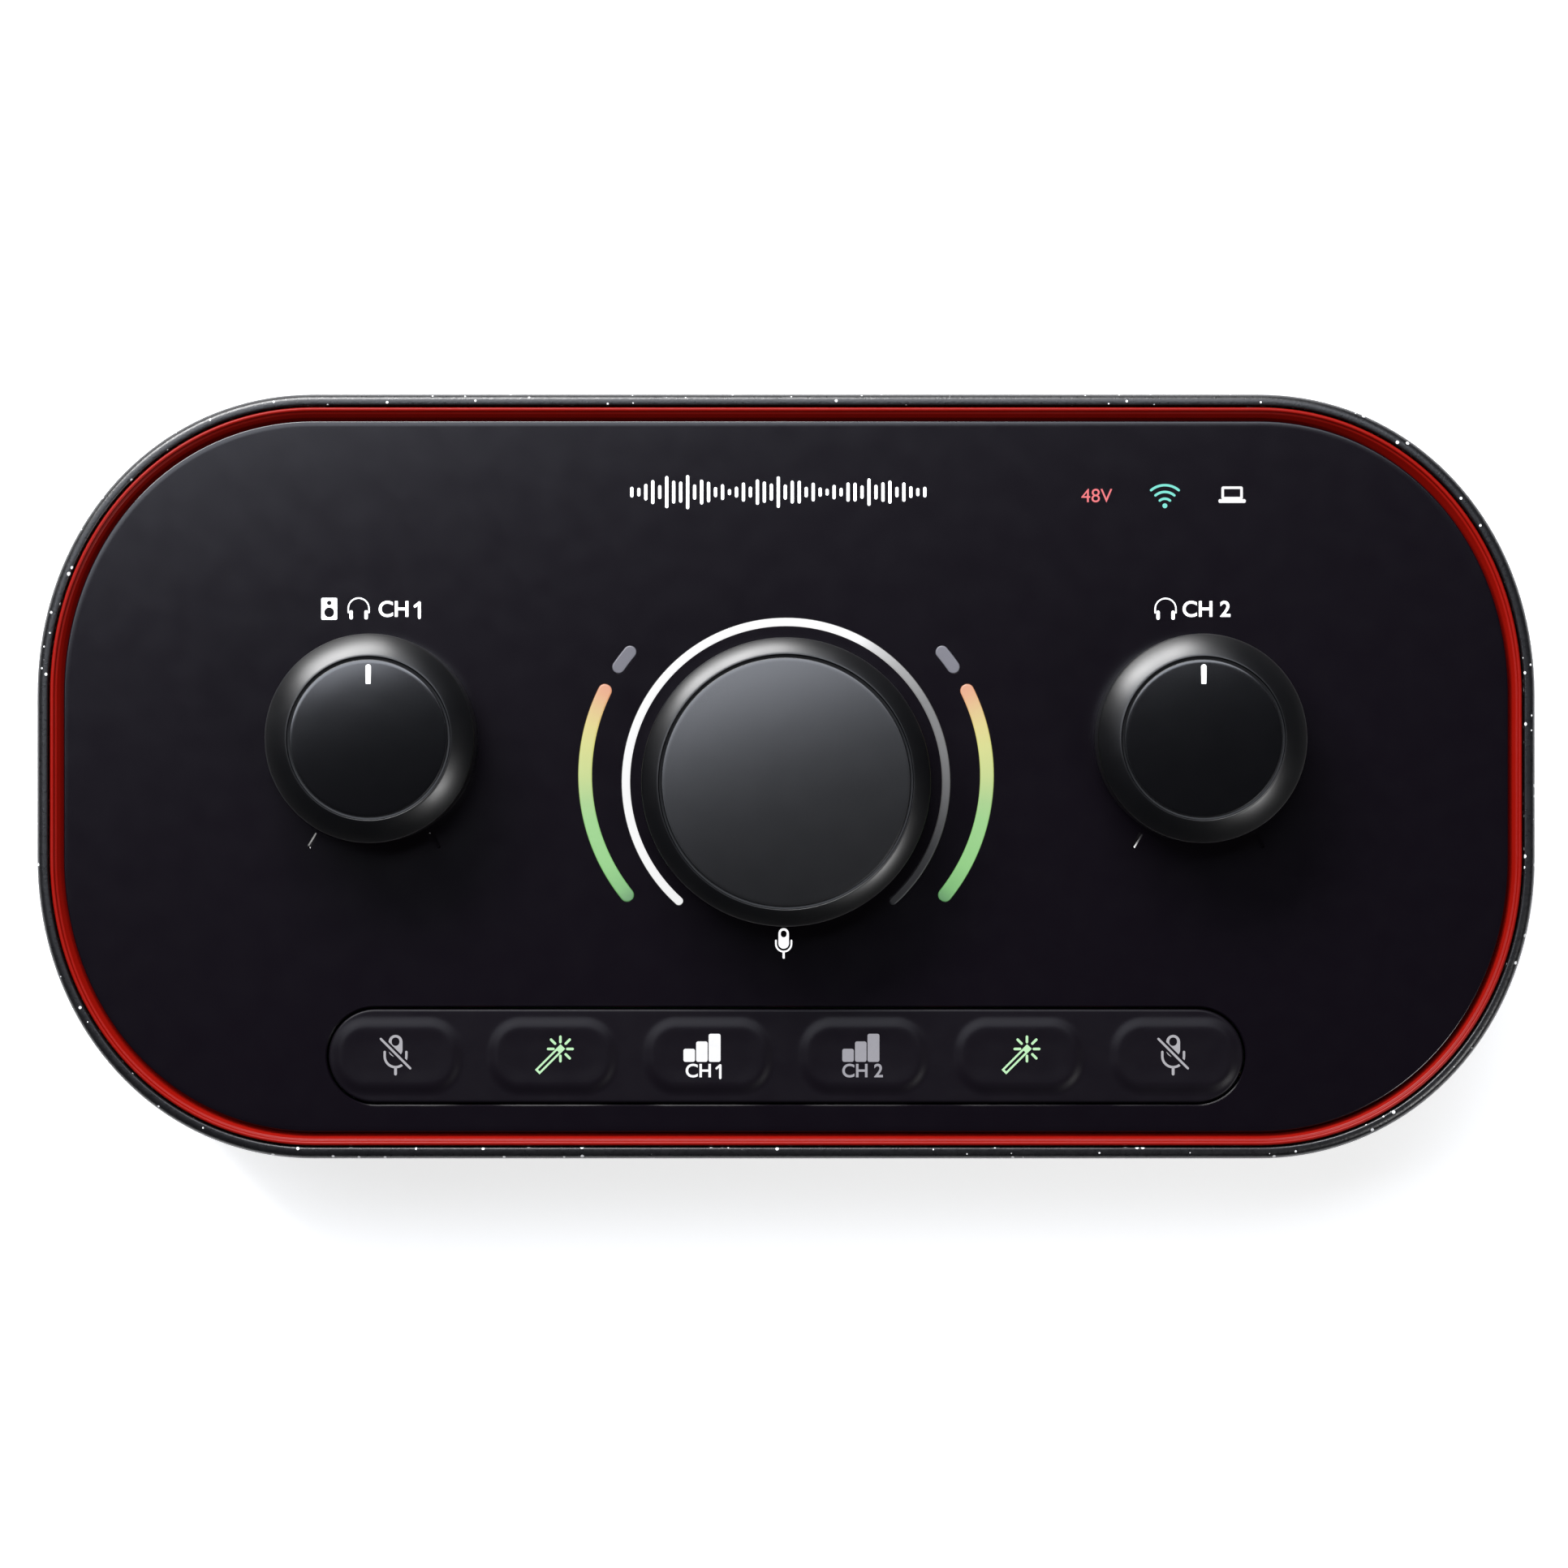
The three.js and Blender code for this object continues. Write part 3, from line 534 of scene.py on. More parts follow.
LIT_RED = glow("lit_red", linear(240, 98, 104))
LIT_TEAL = glow("lit_teal", linear(104, 226, 208))


# ---- Casing ----

def four(at):
    x, y = at
    return [(-x, -y), (x, -y), (x, y), (-x, y)]


SCREW_AT = plan_outline(SCREW_INSET)[20]


def build_shell():
    wall = loft(plan_outline, rounded([
        [SHELL_WALL, SHELL_BOTTOM], [0, SHELL_BOTTOM, 0.8], [0, SHELL_TOP, 1.15],
        [SHELL_WALL, SHELL_TOP, 0.25], ], 6, closed=True), is_ring=True)
    bosses = []
    for x, y in four(SCREW_AT):
        turn = degrees(atan2(copysign(1, y), copysign(1, x)))
        reach = SCREW_INSET - SHELL_WALL / 2
        boss = loft(circle_outline(3.4, 8), [[0, BASE_TOP + 0.3], [0, 24]])
        rib = slab((0, -1, BASE_TOP + 0.35), (reach, 1, 23.9))
        bosses.append(moved(boolean(boss, rib, "UNION"), x, y, 0, turn))
    shell = boolean(wall, combined(*bosses), "UNION")
    holes = [moved(loft(circle_outline(1.5, 4), [[0, BASE_TOP], [0, 13.5]]), x, y)
             for x, y in four(SCREW_AT)]
    window = loft(rounded_outline(2 * WINDOW_HALF, WINDOW_HEIGHT, 2.4, 8),
                  [[0, -6], [0, -0.35], [-0.35, 0.02], [-0.35, 4]])
    bore = loft(circle_outline(6.3, 14), [[0, -6], [0, -0.3], [-0.3, 0.02], [-0.3, 3]])
    bores = [on_wall(FRONT_WALL, bore, x, HEADPHONE_Z) for x in (-LEVEL_X, LEVEL_X)]
    window = on_wall(REAR_WALL, window, 0, WINDOW_MIDDLE)
    shell = boolean(shell, combined(*holes, window, *bores))
    replace_node("outer_shell", shell, SHELL, "shell_paint")


def build_base():
    plate = loft(plan_outline, rounded([
        [3.6, BASE_BOTTOM], [3.3, BASE_BOTTOM, 0.5], [LINER_INSET, 3.2, 0.5],
        [LINER_INSET, BASE_TOP, 0.2], [2.6, BASE_TOP]], 4))
    posts = [moved(loft(circle_outline(3, 6), [[0, 4.5], [0, 6.7]]), x, y)
             for x, y in four((48, 22))]
    plate = boolean(plate, combined(*posts), "UNION")
    wells = [moved(loft(circle_outline(FOOT_RADIUS + 0.3, 12), rounded(
        [[-0.5, 0], [-0.5, 1.8], [0, 2.2], [0, 3.3]], 2)), x, y) for x, y in four(FOOT_AT)]
    sinks = [moved(lathe([[0, 0], [3.3, 0], [3.3, 1.8], [3.0, 2.1], [3.0, 3.7], [1.6, 3.7],
                          [1.6, 6], [0, 6]], 32), x, y) for x, y in four(SCREW_AT)]
    blank_label = loft(rounded_outline(74, 32, 2), [[0, 0], [0, 2.05]])
    plate = boolean(plate, combined(*wells, *sinks, blank_label))
    replace_node("base_plate", plate, BASE, "base_plastic")


def build_liner():
    bead = LINER_INSET + BEAD_WIDTH
    bead_top = SHELL_TOP - 0.2
    profile = rounded([
        [LEDGE_INSET, 33.7], [LINER_INSET, 33.7], [LINER_INSET, bead_top, 0.28],
        [bead, bead_top, 0.28], [bead, 37.3, 0.12], [bead + 0.35, 37.2, 0.3],
        [PANEL_INSET + 0.3, LEDGE_TOP, 0.4], [LEDGE_INSET, LEDGE_TOP]], 6, closed=True)
    replace_node("accent_liner", loft(plan_outline, profile, is_ring=True), RED, "liner_red",
                 sharp=50)


def slot_cutter(outline, edge=0.12):
    return loft(outline, [[0, 33], [0, PANEL_TOP - edge], [-edge, PANEL_TOP + 0.001],
                          [-edge, PANEL_TOP + 1]])


def build_panel():
    plate = loft(plan_outline, rounded([
        [PANEL_INSET + 1.4, PANEL_BOTTOM], [PANEL_INSET + 0.8, PANEL_BOTTOM],
        [PANEL_INSET, PANEL_BOTTOM + 0.8, 0.2], [PANEL_INSET, PANEL_TOP, 0.25],
        [PANEL_INSET + 0.9, PANEL_TOP]], 6))
    guides = [halo_outline(GUIDE_GAP)]
    for side in (-1, 1):
        guides.append(meter_outline(side, METER_ANGLES, 40, GUIDE_GAP))
        guides.append(meter_outline(side, CLIP_ANGLES, 6, GUIDE_GAP))
    cutters = [slot_cutter(guide, 0.06) for guide in guides]
    for x, y in ((0, GAIN_Y), (-LEVEL_X, LEVEL_Y), (LEVEL_X, LEVEL_Y)):
        cutters.append(moved(slot_cutter(circle_outline(BUSH_HOLE, 12)), x, y))
    width, height = KEYPAD_SIZE
    keypad_slot = slot_cutter(rounded_outline(width, height, height / 2, 24), 0.2)
    cutters.append(moved(keypad_slot, 0, KEYPAD_Y))
    tick = loft(rounded_outline(2.3, 0.1, 0.05, 4), [
        [0, PANEL_TOP - 0.16], [0, PANEL_TOP - 0.14], [-0.25, PANEL_TOP + 0.001],
        [-0.25, PANEL_TOP + 1]])
    for x in (-LEVEL_X, LEVEL_X):
        for angle in (270 - TICK_LEAN, 270 + TICK_LEAN):
            cutters.append(moved(tick, *polar(TICK_AT, angle, (x, LEVEL_Y)), 0, angle))
    plate = boolean(plate, combined(*cutters))
    # The ticks' shallow edges have to stay sharp, or their shading streaks the panel.
    replace_node("top_panel", plate, PANEL, "panel_black", sharp=20)


def build_lights():
    crown = rounded([[0, GUIDE_BOTTOM], [0, PANEL_TOP, 0.15], [0.3, PANEL_TOP]], 4)
    replace_node("gain_halo", loft(halo_outline(), crown), HALO, "halo_light")
    for n, side in ((1, -1), (2, 1)):
        replace_node(f"meter_light_{n}", loft(meter_outline(side, METER_ANGLES, 40), crown),
                     METER, "meter_light")
        replace_node(f"clip_light_{n}", loft(meter_outline(side, CLIP_ANGLES, 6), crown),
                     CLIP, "clip_light")


def build_feet_and_screws():
    foot = lathe(rounded([
        [0, 0.35], [4.6, 0.35, 0.3], [5.0, 0, 0.2], [FOOT_RADIUS, 0, 0.6],
        [FOOT_RADIUS, 3, 0.2], [0, 3]], 5), 72)
    recess = boolean(slab((-1.6, -0.36, 0), (1.6, 0.36, 2.8)),
                     slab((-0.36, -1.6, 0), (0.36, 1.6, 2.8)), "UNION")
    screw = lathe(rounded([
        [0, 2.1], [2.6, 2.1, 0.35], [2.6, 3.4, 0.1], [1.2, 3.4, 0.1], [1.2, 12.5],
        [0, 13]], 4), 48)
    screw = boolean(screw, recess)
    for n, foot_at, screw_at in zip(range(1, 5), four(FOOT_AT), four(SCREW_AT)):
        replace_node(f"foot_{n}", moved(foot, *foot_at), RUBBER, "foot_rubber")
        replace_node(f"screw_{n}", moved(screw, *screw_at, 0, 35 * n - 15), STEEL, "steel")


# ---- Keypad: six soft pieces, each a pad with its share of the web ----

def eased(share):
    share = min(max(share, 0), 1)
    return share * share * (3 - 2 * share)


def pad_rise(x, y):
    """Height of the pad above the web, at a point measured from the pad's centre."""
    margin = 0.3
    corner = KEY_CORNER + margin
    over_x = abs(x) - KEY_SIZE[0] / 2 - margin + corner
    over_y = abs(y) - KEY_SIZE[1] / 2 - margin + corner
    inside = corner - hypot(max(over_x, 0), max(over_y, 0)) - min(max(over_x, over_y), 0)
    return 0.38 * eased(inside / 1.9) - 0.08 * eased((inside - 1.6) / 2.6)


def build_keypad_piece(number):
    """A pad with its share of the web. The end pads take the web's round ends."""
    centre_x = (number - 3.5) * KEY_PITCH
    radius = KEYPAD_SIZE[1] / 2 - KEYPAD_GAP
    round_start = KEYPAD_SIZE[0] / 2 - KEYPAD_GAP - radius
    step, rows, edge = 0.3, 44, 0.35
    left, right = -KEY_PITCH / 2, KEY_PITCH / 2
    quarter = [polar(radius, 90 - 4 * i) for i in range(23)]
    left_end, right_end = [], []
    if number == 1:
        left = -round_start - centre_x + step
        left_end = [(left - step - x, y) for x, y in reversed(quarter)]
    if number == 6:
        right = round_start - centre_x - step
        right_end = [(right + step + x, y) for x, y in quarter]
    steps = round((right - left) / step)
    middle = [(left + (right - left) * i / steps, radius) for i in range(steps + 1)]
    loops = []
    for x, half in left_end + middle + right_end:
        top = []
        for j in range(rows + 1):
            y = half * sin((j / rows - 0.5) * pi * 0.999)
            near = half - abs(y)
            past = abs(x + centre_x) - round_start
            if past > 0:
                near = min(near, radius - hypot(past, y))
            lip = edge - sqrt(edge ** 2 - (edge - min(max(near, 0), edge)) ** 2)
            top.append((x + centre_x, y + KEYPAD_Y, WEB_TOP - lip + pad_rise(x, y)))
        loops.append(top + [(px, py, WEB_BOTTOM) for px, py, _ in reversed(top)])
    replaced = [f"key_{number}"] + (["keypad_membrane"] if number == 1 else [])
    piece = place_piece(f"keypad_pad_{number}", skinned(loops), KEYPAD, "soft_keypad", None,
                        replaced=replaced, sharp=50)
    x, y = centre_x * MM, KEYPAD_Y * MM
    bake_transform(piece)


# ---- Symbols: thin printed or lit shapes; the print glows with painted light. A glyph is a list of shapes, each a list of loops ----

def stroke(path, width, steps=6):
    """The outline of an even line with round ends along a smooth path."""
    points = [Vector(p) for p in path]
    half = width / 2
    sides = []
    for i, point in enumerate(points):
        ahead = points[min(i + 1, len(points) - 1)] - points[max(i - 1, 0)]
        normal = Vector((-ahead.y, ahead.x)).normalized()
        sides.append((point, normal))
    loop = [tuple(p + n * half) for p, n in sides]
    for (point, normal), sign in ((sides[-1], 1), (sides[0], -1)):
        start = degrees(atan2(normal.y * sign, normal.x * sign))
        loop += arc(half, start, start - 180, steps, point)[1:-1]
        if sign == 1:
            loop += [tuple(p - n * half) for p, n in reversed(sides)]
    return [loop]


def shifted(loop, x, y):
    return [(px + x, py + y) for px, py in loop]


def bar(x, y, width, height, radius, hole=0):
    loops = [shifted(rounded_outline(width, height, radius, 5)(0), x, y)]
    if hole:
        inner = rounded_outline(width - 2 * hole, height - 2 * hole, max(radius - hole, 0.06), 5)
        loops.append(shifted(inner(0), x, y))
    return loops


def dot(x, y, radius):
    return [shifted(circle_outline(radius, 5)(0), x, y)]


MICROPHONE = [
    [bar(0, 0.75, 1.64, 3.2, 0.82)[0], bar(0, 1.45, 0.92, 1.05, 0.45)[0]],
    stroke([(-1.2, 0.42)] + arc(1.2, 180, 360, 16, (0, -0.1)) + [(1.2, 0.42)], 0.27),
    stroke([(0, -1.35), (0, -2.25)], 0.33),
]


def wand():
    tip = (0.9, 0.85)
    diagonal = sqrt(0.5)

    def rod(tail, head, half):
        corners = [(tail, -half), (head, -half), (head, half), (tail, half)]
        return [(tip[0] + (x - y) * diagonal, tip[1] + (x + y) * diagonal) for x, y in corners]
    rays = []
    for angle in (0, 45, 90, 135, 180, 270, 315):
        near, far = (1.1, 1.95) if angle % 90 == 0 else (1.2, 2.1)
        rays.append(stroke([polar(near, angle, tip), polar(far, angle, tip)], 0.4))
    return [[rod(-5.2, 0.55, 0.52), rod(-4.85, -0.55, 0.2)]] + rays


RISING_BARS = [bar(-1.95, -1.15, 1.72, 1.95, 0.3), bar(-0.05, -0.6, 1.72, 3.05, 0.3),
               bar(1.85, -0.03, 1.78, 4.2, 0.3)]
SPEAKER = [[bar(0, 0, 2.45, 3.4, 0.2)[0], dot(0, 0.92, 0.36)[0], dot(0, -0.55, 0.78)[0]]]
HEADPHONES = [
    stroke([(-1.55, -0.6)] + arc(1.55, 180, 0, 20) + [(1.55, -0.6)], 0.2),
    bar(-1.12, -0.95, 0.5, 1.35, 0.24), bar(1.12, -0.95, 0.5, 1.35, 0.24),
]
LAPTOP = [bar(0, 0.35, 3.45, 2.1, 0.3, 0.42), bar(0, -0.95, 4.4, 0.62, 0.25)]
RADIO_WAVES = [dot(0, -1.75, 0.42)] + [
    stroke(arc(radius, 50, 130, 16, (0, -1.9)), 0.42) for radius in (1.35, 2.5, 3.65)]


def sound_wave():
    """A row of rounded bars, as long and as tall as the row of print that it stands for."""
    shapes = []
    count = 43
    for i in range(count):
        share = i / (count - 1)
        swell = 0.28 + 0.72 * abs(sin(share * pi * 3.0)) * (1 - 0.45 * share)
        flicker = 0.72 + 0.28 * cos(i * 2.4)
        height = max(5.6 * swell * flicker, 0.7)
        shapes.append(bar(-21.9 + 43.8 * share, 0, 0.46, height, 0.23))
    return shapes


POWER_SIGN = [stroke(arc(1.15, 125, 415, 20), 0.3), stroke([(0, 0.35), (0, 1.4)], 0.3)]
PHONE_SIGN = [bar(0, 0, 1.9, 3.2, 0.35, 0.24)]
CAMERA_SIGN = [bar(0, 0, 3.2, 2.2, 0.35, 0.24), [dot(0, 0, 0.62)[0], dot(0, 0, 0.38)[0]]]


def lettering(text, size, weight=0.0):
    """Plain lettering in Blender's own font, centred, as a solid that is 1 mm tall."""
    curve = bpy.data.curves.new("lettering", "FONT")
    curve.body = text
    curve.size = size
    curve.align_x = "CENTER"
    curve.align_y = "CENTER"
    curve.offset = weight
    curve.extrude = 0.5
    curve.resolution_u = 6
    obj = linked("lettering", curve)
    evaluated = obj.evaluated_get(bpy.context.evaluated_depsgraph_get())
    mesh = bpy.data.meshes.new_from_object(evaluated)
    work = bmesh.new()
    work.from_mesh(mesh)
    bmesh.ops.remove_doubles(work, verts=work.verts, dist=1e-4)
    solid = ([tuple(v.co) for v in work.verts],
             [tuple(v.index for v in f.verts) for f in work.faces])
    work.free()
    bpy.data.objects.remove(obj)
    bpy.data.curves.remove(curve)
    bpy.data.meshes.remove(mesh)
    return solid


def channel_label(number, size, prefix="CH "):
    """Channel 1 or 2. The font's own 1 is a bare bar, so it is drawn, with a flag."""
    if number == 2:
        return lettering(prefix + "2", size, 0.05)
    lines = (stroke([(0, -0.35 * size), (0, 0.32 * size)], 0.13 * size),
             stroke([(-0.2 * size, 0.16 * size), (-0.01 * size, 0.32 * size)], 0.12 * size))
    one = combined(*[prism(line, -0.5, 0.5) for line in lines])
    if not prefix:
        return one
    word = lettering(prefix.strip(), size, 0.05)
    both = combined(word, moved(one, max(p[0] for p in word[0]) + 0.5 * size))
    across = [p[0] for p in both[0]]
    return moved(both, -(min(across) + max(across)) / 2)


def inked(shape, x, y, surface_z, scale=1.0):
    """A glyph, or a solid such as lettering, that stands INK_HEIGHT proud of a surface."""
    bottom = surface_z - INK_HEIGHT
    if isinstance(shape, tuple):
        heights = [p[2] for p in shape[0]]
        low, rise = min(heights), 2 * INK_HEIGHT / (max(heights) - min(heights))
        return moved(([(px, py, bottom + (pz - low) * rise) for px, py, pz in shape[0]],
                      shape[1]), x, y)
    solids = []
    for i, loops in enumerate(shape):
        sized = [[(px * scale, py * scale) for px, py in loop] for loop in loops]
        solids.append(prism(sized, bottom, surface_z + INK_HEIGHT + 0.002 * i))
    return moved(combined(*solids), x, y)


def crossed_microphone():
    """A microphone with a clear band cut across it, and the stroke that crosses it out."""
    scale = 1.27
    capsule, window = ([(x * scale, y * scale) for x, y in bar(*size)[0]]
                       for size in ((0, 0.95, 1.64, 2.6, 0.82), (0, 1.45, 0.92, 1.0, 0.45)))
    cradle = stroke([(-1.62, 0.3)] + arc(1.62, 180, 360, 16, (0, -0.35)) + [(1.62, 0.3)], 0.36)
    stem = stroke([(0, -2.05), (0, -3.0)], 0.42)
    gap = prism(stroke([(-2.9, 2.95), (2.9, -2.85)], 1.0), -1, 2)
    cut = [boolean(prism(loops, 0, 1), gap) for loops in ([capsule, window], cradle, stem)]
    return combined(*cut, prism(stroke([(-2.2, 2.25), (2.2, -2.15)], 0.34), 0, 1))


def key_sign(number, x):
    """The sign on the pad at x, as if the pad were flat and at height 0, and its material."""
    if number in (1, 6):
        return inked(crossed_microphone(), x - 0.25, KEYPAD_Y + 0.3, 0), LIT_GREY
    if number in (2, 5):
        return inked(wand(), x + 0.3, KEYPAD_Y + 0.25, 0, 0.94), LIT_GREEN
    shift, material = (-0.9, LIT_WHITE) if number == 3 else (-0.4, LIT_BAR_GREY)
    bars = inked(RISING_BARS, x + shift, KEYPAD_Y + 1.25, 0)
    label = inked(channel_label(number - 2, 2.8), x + shift + 0.2, KEYPAD_Y - 2.3, 0)
    return combined(bars, label), material


def build_symbols():
    prints = (
        (sound_wave(), -1.15, 42.5, 1), (MICROPHONE, -0.35, -24.95, 0.96),
        (SPEAKER, -68.3, 25.05, 0.96), (HEADPHONES, -63.9, 25.1, 1),
        (channel_label(1, 3.3), -57.75, 24.9, 1), (HEADPHONES, 56.75, 25.05, 1),
        (channel_label(2, 3.3), 62.85, 24.9, 1))
    solids = [inked(shape, x, y, PANEL_TOP, scale) for shape, x, y, scale in prints]
    # The panel print glows with painted light, so the knobs' shadows leave it white.
    place_sign("panel_print", combined(*solids), PAINTED_GLOW_PRINT, "halo_light")
    for name, shape, x, y, scale, material in (
            ("phantom_power_sign", lettering("48V", 2.9), 46.45, 41.87, 1, LIT_RED),
            ("wireless_sign", RADIO_WAVES, 56.65, 42.0, 0.88, LIT_TEAL),
            ("computer_sign", LAPTOP, 66.7, 42.05, 0.93, LIT_WHITE)):
        place_sign(name, inked(shape, x, y, PANEL_TOP, scale), material)
    for number in range(1, 7):
        x = (number - 3.5) * KEY_PITCH
        (flat, faces), material = key_sign(number, x)
        bent = [(px, py, pz + WEB_TOP + pad_rise(px - x, py - KEYPAD_Y)) for px, py, pz in flat]
        place_sign(f"key_{number}_sign", (bent, faces), material, body=f"key_{number}")


# ---- Knobs ----

SHOULDER_LEANS = (24, 38, 90)           # at the inner edge, at the fillet and at the wall


def shoulder(base_radius, edge_radius, edge_height, steps=24):
    """The top of the wall up to the shoulder's inner edge. The slope eases through the
    fillet, then evenly from there to the edge."""
    at_edge, at_fillet, at_wall = (radians(lean) for lean in SHOULDER_LEANS)
    band = base_radius - SHOULDER_FILLET * (1 - sin(at_fillet)) - edge_radius
    turn = at_fillet - at_edge
    slope = []
    for step in range(steps, -1, -1):
        share = step / steps
        drop = band * log(cos(at_edge) / cos(at_edge + turn * share)) / turn
        slope.append([edge_radius + band * share, edge_height - drop])
    centre = slope[0][1] - SHOULDER_FILLET * cos(at_fillet)
    leans = [at_wall + (at_fillet - at_wall) * i / 8 for i in range(8)]
    return [[base_radius - SHOULDER_FILLET * (1 - sin(lean)),
             centre + SHOULDER_FILLET * cos(lean)] for lean in leans] + slope


def disc_height(radius):
    return KNOB_TOP - radius ** 2 / 2 / DOME_RADIUS


def knob(base_radius, disc_radius, segments):
    bore, wall, edge = 3.3, 1.5, disc_height(disc_radius) - 0.2
    ceiling = KNOB_TOP - 3.4
    rim_edge = disc_radius + 0.7
    under = [[0, SHAFT_TOP + 0.3], [bore, SHAFT_TOP + 0.3], [bore, 39], [bore + 3, 39],
             [bore + 3, ceiling], [disc_radius - wall, ceiling],
             [base_radius - wall, ceiling - 6], [base_radius - wall, KNOB_BOTTOM]]
    skirt = rounded([[base_radius - wall, KNOB_BOTTOM], [base_radius, KNOB_BOTTOM, 0.3],
                     [base_radius, 44]], 4)[1:-1]
    slope = shoulder(base_radius, rim_edge, edge)
    lip = rounded([slope[-1], [rim_edge - 0.22, edge + 0.06, 0.1], [rim_edge - 0.36, edge - 0.14],
                   [disc_radius, edge - 0.18], [disc_radius, disc_height(disc_radius), 0.13],
                   [disc_radius - 0.6, disc_height(disc_radius - 0.6)]], 5)[1:]
    steps = 14
    dome_radii = [(disc_radius - 0.6) * (1 - i / steps) for i in range(1, steps + 1)]
    dome = [[radius, disc_height(radius)] for radius in dome_radii]
    return lathe(under + skirt + slope + lip + dome, segments)


def place_knob(name, base_radius, disc_radius, segments, x, y, disc_material):
    """A knob whose disc and side differ in finish."""
    solid = moved(knob(base_radius, disc_radius, segments), x, y)
    piece = replace_node(name, solid, disc_material, "knob_satin", name, sharp=38)
    piece.data.materials.append(KNOB_SIDE)
    side_from = (disc_radius - 0.25) * MM
    for face in piece.data.polygons:
        if hypot(face.center.x - x * MM, face.center.y - y * MM) > side_from:
            face.material_index = 1


def build_knobs():
    place_knob("gain_knob", *GAIN_RADII, 160, 0, GAIN_Y, GAIN_KNOB)
    height = disc_height(POINTER_AT)
    line = loft(rounded_outline(*POINTER_SIZE, 0.38, 6), [
        [0, height - 0.4], [0, height - 0.02], [0.05, height + 0.05]])
    for n, x in ((1, -LEVEL_X), (2, LEVEL_X)):
        place_knob(f"level_knob_{n}", *LEVEL_RADII, 128, x, LEVEL_Y, KNOB)
        # The pointer line is print with a painted glow.
        place_sign(f"level_pointer_{n}", moved(line, x, LEVEL_Y + POINTER_AT), PAINTED_GLOW_PRINT,
                   "halo_light", f"level_knob_{n}")


# ---- Rear wall and front sockets, each in its wall's own frame ----

def rear(place, name, solid, x, material, slot, body="casing", setback=0):
    """Puts a piece in the rear wall's row of sockets, with one of the functions that place."""
    place(name, moved(solid, -x, SOCKET_Z, -setback), material, slot, body, REAR_WALL)


def build_rear_panel():
    face = -PLATE_SETBACK
    plate = loft(rounded_outline(2 * WINDOW_HALF - 0.6, WINDOW_HEIGHT - 0.6, 2.1, 8), rounded(
        [[0, -2.4], [0, face, 0.2], [0.6, face]], 3))
    flange = loft(rounded_outline(2 * WINDOW_HALF + 2.6, WINDOW_HEIGHT + 1.2, 2.4, 8),
                  [[0, -3.25], [0, -2.05]])
    panel = moved(boolean(flange, plate, "UNION"), 0, WINDOW_MIDDLE)
    holes = [(circle_outline(12.12, 24), x) for x in MIC_X]
    holes += [(circle_outline(radius + 0.12, 14), x) for radius, x in (
        (6, LINE_OUT_X[0]), (6, LINE_OUT_X[1]), (3.6, PHONE_X), (3.6, CAMERA_X),
        (2.6, PAIRING_X), (3.4, POWER_X))]
    holes.append((rounded_outline(10.2, 4.5, 2.2, 8), USB_X))
    layers = [[0, -5], [0, face - 0.15], [-0.15, face + 0.001], [-0.15, 1]]
    cutters = [moved(loft(outline, layers), -x, SOCKET_Z) for outline, x in holes]
    panel = boolean(panel, combined(*cutters))
    replace_node("rear_panel", panel, SHELL, "shell_paint", wall=REAR_WALL)


def build_mic_socket(number, x):
    housing = lathe(rounded([
        [0, -20], [12, -20], [12, -0.15, 0.45], [10.5, -0.15, 0.2], [9.7, -1.1, 0.2], [9.7, -17],
        [0, -17]], 4), 96)
    housing = boolean(housing, slab((-3.3, 9, -12.45), (3.3, 13, 1)))
    rear(replace_node, f"mic_socket_{number}", housing, x, SOCKET, "socket_plastic")
    core = lathe(rounded([
        [0, -16.7], [7.7, -16.7], [7.7, -2.5, 0.5], [5.9, -2.5], [5.7, -2.8], [5.4, -2.8],
        [5.2, -2.5], [0, -2.5]], 4), 64)
    pin_places = [polar(3.8, angle) for angle in (90, 210, 330)]
    bores = [moved(loft(circle_outline(1.35, 8), [
        [0, -14], [0, -2.8], [-0.3, -2.499], [-0.3, 0]]), px, py) for px, py in pin_places]
    key_slot = slab((-1.0, -8.2, -8), (1.0, -6.9, 0))
    core = boolean(core, combined(*bores, key_slot))
    rear(replace_node, f"mic_insert_{number}", core, x, SOCKET, "socket_plastic")
    contact = lathe(rounded([[0.95, -13.9], [1.3, -13.9], [1.3, -3.4, 0.1], [0.95, -3.4, 0.1]],
                            3, closed=True), 24)
    contacts = combined(*[moved(contact, px, py) for px, py in pin_places])
    rear(place_piece, f"mic_contacts_{number}", contacts, x, CONTACT, "steel")
    tab = loft(rounded_outline(6, 1.3, 0.3, 4), rounded(
        [[0, -10.1], [0, -0.2, 0.3], [0.4, -0.2]], 3))
    catch = prism([[(-2.2, 9.75), (2.2, 9.75), (2.2, 10.6), (-2.2, 10.6)]], -8, -6.8)
    grooves = [slab((gx - 0.2, 10, -0.5), (gx + 0.2, 12, 0.2))
               for gx in (-1.6, -0.8, 0, 0.8, 1.6)]
    tab = boolean(boolean(moved(tab, 0, 10.95), catch, "UNION"), combined(*grooves))
    rear(replace_node, f"mic_latch_{number}", tab, x, STEEL, "steel", f"mic_latch_{number}")


# Nose radius, bore radius, length, width of the body and segments round the nose
BIG_JACK, SMALL_JACK = (6, 3.3, 29, 14, 72), (3.6, 1.85, 15, 8, 48)
JACK_FLOOR = 8.9                        # the height of its underside, above the main board


